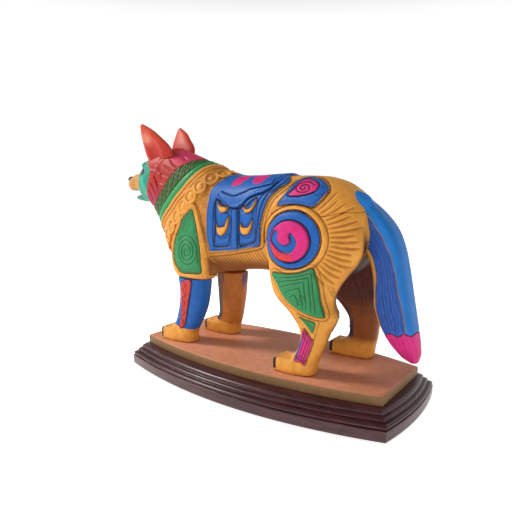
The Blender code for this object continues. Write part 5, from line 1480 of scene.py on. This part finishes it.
MOULDING = [(0.7, 1.8), (0.2, 2.1), (0.0, 2.7), (0.0, 5.0), (0.0, 8.0), (0.0, 11.0), (0.3, 11.9), (1.3, 12.2), (1.6, 12.6), (0.9, 13.1),
            (0.5, 13.9), (0.7, 14.8), (1.5, 15.6), (2.7, 16.1), (4.1, 16.3), (4.7, 16.6), (4.5, 17.2), (4.2, 17.9), (4.4, 18.7),
            (5.1, 19.4), (6.2, 19.8), (7.4, 19.9), (7.9, 20.3), (7.7, 21.1), (7.7, 22.0), (8.1, 22.9), (8.9, 23.6), (9.8, 24.0),
            (11.0, 24.2)]
mould = curve(MOULDING, 3)
plinth_mesh = stack([(z, plan(d, d, PLINTH_SIDE_BOW, PLINTH_END_BOW)) for d, z in mould if z is not None])

wood = bpy.data.materials.new("stained_mahogany")
wood.use_nodes = True
t = wood.node_tree
b = t.nodes["Principled BSDF"]
where = node_at(t, "ShaderNodeTexCoord", -1200, 0)
stretch = node_at(t, "ShaderNodeMapping", -1000, 0)
stretch.inputs["Scale"].default_value = (14.0, 170.0, 240.0)
t.links.new(where.outputs["Object"], stretch.inputs["Vector"])
streak = node_at(t, "ShaderNodeTexNoise", -800, 100)
streak.inputs["Scale"].default_value = 1.6
streak.inputs["Detail"].default_value = 7.0
streak.inputs["Roughness"].default_value = 0.65
streak.inputs["Distortion"].default_value = 0.4
t.links.new(stretch.outputs["Vector"], streak.inputs["Vector"])
ramp = node_at(t, "ShaderNodeValToRGB", -600, 100)
ramp.color_ramp.elements[0].position = 0.32
ramp.color_ramp.elements[0].color = (*col(46, 20, 24), 1)
ramp.color_ramp.elements[1].position = 0.68
ramp.color_ramp.elements[1].color = (*col(88, 46, 48), 1)
t.links.new(streak.outputs["Fac"], ramp.inputs["Fac"])
t.links.new(ramp.outputs["Color"], b.inputs["Base Color"])
dull = node_at(t, "ShaderNodeMapRange", -600, -200)
dull.inputs["To Min"].default_value = 0.24
dull.inputs["To Max"].default_value = 0.40
t.links.new(streak.outputs["Fac"], dull.inputs["Value"])
t.links.new(dull.outputs["Result"], b.inputs["Roughness"])
pore = node_at(t, "ShaderNodeBump", -300, -350)
pore.inputs["Strength"].default_value = 0.12
pore.inputs["Distance"].default_value = 0.0004
t.links.new(streak.outputs["Fac"], pore.inputs["Height"])
t.links.new(pore.outputs["Normal"], b.inputs["Normal"])
b.inputs["Coat Weight"].default_value = 0.12
b.inputs["Coat Roughness"].default_value = 0.25
b.inputs["Specular IOR Level"].default_value = 0.35
ob = piece("plinth_moulding", plinth_mesh, wood, ["plinth"], "plinth_stain", col(70, 36, 36), paint_map=False)
ob.data.set_sharp_from_angle(angle=math.radians(32))

rng = np.random.default_rng(7)
edge_wave = lambda k: 0.25 * np.sin(np.arange(192) * 0.21 + k) + 0.15 * np.sin(np.arange(192) * 0.53 + 2 * k)
rows = []
for z, d in ((24.5, 0.0), (26.5, -0.05), (29.0, 0.05), (31.0, -0.05), (32.2, 0.1), (32.8, 0.4), (33.15, 0.9), (33.3, 1.6), (33.3, 6.0)):
    xy = plan(SLAB_INSET_END + d, SLAB_INSET_SIDE + d, SLAB_SIDE_BOW, 0.4)
    rows.append((z, xy * (1 + 0.0015 * edge_wave(z * 0.3))[:, None]))


def slab_paint(x, y, z, n):
    top = step(n[:, 2], 0.5, 0.85)
    patch = 0.5 + 0.5 * np.sin(x * 0.045 + 1.3 * np.sin(y * 0.05)) * np.sin(y * 0.07 + 0.9)
    rgb = mix(col(226, 154, 120), col(206, 134, 96), patch)
    return rgb * top[:, None] + np.array(col(132, 98, 62)) * (1 - top[:, None])


ob = piece("ground_slab_painted", stack(rows), M_GROUND, ["ground_slab"], "ground_paint", slab_paint, paint_map=False, cavity=0.0,
           edge=0.0)
ob.data.set_sharp_from_angle(angle=math.radians(40))

# felt, nose, eyes and the hidden fastenings keep their CAD shapes
def plain(name, rgb, rough, metal=0.0, coat=0.0, bump=0.0, scale=1500.0):
    mat = bpy.data.materials.new(name)
    mat.use_nodes = True
    t = mat.node_tree
    b = t.nodes["Principled BSDF"]
    where = node_at(t, "ShaderNodeTexCoord", -1000, 0)
    noise = node_at(t, "ShaderNodeTexNoise", -800, 0)
    noise.inputs["Scale"].default_value = scale
    noise.inputs["Detail"].default_value = 4.0
    t.links.new(where.outputs["Object"], noise.inputs["Vector"])
    ramp = node_at(t, "ShaderNodeValToRGB", -500, 0)
    ramp.color_ramp.elements[0].position = 0.3
    ramp.color_ramp.elements[0].color = (*[c * 0.75 for c in rgb], 1)
    ramp.color_ramp.elements[1].position = 0.7
    ramp.color_ramp.elements[1].color = (*[min(c * 1.2, 1) for c in rgb], 1)
    t.links.new(noise.outputs["Fac"], ramp.inputs["Fac"])
    t.links.new(ramp.outputs["Color"], b.inputs["Base Color"])
    b.inputs["Roughness"].default_value = rough
    b.inputs["Metallic"].default_value = metal
    b.inputs["Coat Weight"].default_value = coat
    if bump:
        n = node_at(t, "ShaderNodeBump", -300, -300)
        n.inputs["Strength"].default_value = bump
        n.inputs["Distance"].default_value = 0.0004
        t.links.new(noise.outputs["Fac"], n.inputs["Height"])
        t.links.new(n.outputs["Normal"], b.inputs["Normal"])
    return mat


FINISH = {"felt": plain("green_felt", col(30, 52, 38), 0.95, bump=0.6), "steel": plain("zinc_steel", (0.6, 0.6, 0.58), 0.35, 1.0),
          "gloss": plain("gloss_black", col(20, 18, 19), 0.22, coat=0.6), "wood": plain("beech_wood", col(190, 150, 105), 0.6, bump=0.2, scale=300)}
for node_name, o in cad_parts.items():
    if o.hide_render:
        continue
    kind = ("felt" if "felt" in node_name else "steel" if "screw" in node_name else "wood" if "dowel" in node_name else "gloss")
    o.data.materials.clear() if len(o.data.materials) == 0 else None
    for i in range(len(o.material_slots)):
        o.material_slots[i].material = FINISH[kind]

# ------------------------------------------------------------ floor and light
bpy.ops.mesh.primitive_plane_add(size=8.0, location=(0, 0, 0))
floor = bpy.context.object
floor.name = "floor"
fmat = bpy.data.materials.new("floor_white")
fmat.use_nodes = True
fb = fmat.node_tree.nodes["Principled BSDF"]
fb.inputs["Base Color"].default_value = (0.92, 0.92, 0.92, 1)
fb.inputs["Roughness"].default_value = 0.9
fb.inputs["Emission Color"].default_value = (1, 1, 1, 1)
fb.inputs["Emission Strength"].default_value = 0.8
floor.data.materials.append(fmat)
floor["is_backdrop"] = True

world = bpy.data.worlds.new("studio")
world.use_nodes = True
wt = world.node_tree
back = wt.nodes["Background"]
place = node_at(wt, "ShaderNodeTexCoord", -800, 0)
axes = node_at(wt, "ShaderNodeSeparateXYZ", -600, 0)
wt.links.new(place.outputs["Generated"], axes.inputs["Vector"])
fall = node_at(wt, "ShaderNodeMapRange", -400, 0)
fall.inputs["From Min"].default_value = 0.25
fall.inputs["From Max"].default_value = 0.42
fall.inputs["To Min"].default_value = 1.06
fall.inputs["To Max"].default_value = 0.18
wt.links.new(axes.outputs["Z"], fall.inputs["Value"])
wt.links.new(fall.outputs["Result"], back.inputs["Strength"])
back.inputs["Color"].default_value = (1, 1, 1, 1)
bpy.context.scene.world = world


def area(name, at, aim, size, power, tint=(1, 1, 1)):
    lamp = bpy.data.lights.new(name, "AREA")
    lamp.shape = "DISK"
    lamp.size = size
    lamp.energy = power
    lamp.color = tint
    ob = bpy.data.objects.new(name, lamp)
    bpy.context.scene.collection.objects.link(ob)
    ob.location = at
    from mathutils import Vector
    ob.rotation_euler = (Vector(aim) - Vector(at)).to_track_quat("-Z", "Y").to_euler()
    return ob


area("key", (-0.95, -0.42, 0.95), (0, 0, 0.12), 0.30, 13.0, (1.0, 0.985, 0.96))
area("fill", (0.95, -0.9, 0.55), (0, 0, 0.12), 0.9, 0.8)
area("rim", (0.4, 1.0, 1.0), (0, 0, 0.12), 0.8, 2.0)

# ------------------------------------------------------------------- camera
AZ, EL = math.radians(35.515), math.radians(16.944)
cam = bpy.data.cameras.new("camera")
cam.sensor_width = 36.0
cam.lens = 488.47 / 512 * 36.0
cam.shift_x = -15.51 / 512
cam.shift_y = 67.83 / 512
cam.clip_start = 0.01
co = bpy.data.objects.new("camera", cam)
bpy.context.scene.collection.objects.link(co)
co.location = (0.27432, -0.38436, 0.20387)
co.rotation_euler = (math.pi / 2 - EL, 0.0, AZ)
bpy.context.scene.camera = co
bpy.context.scene.view_settings.view_transform = "Standard"

low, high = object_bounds()
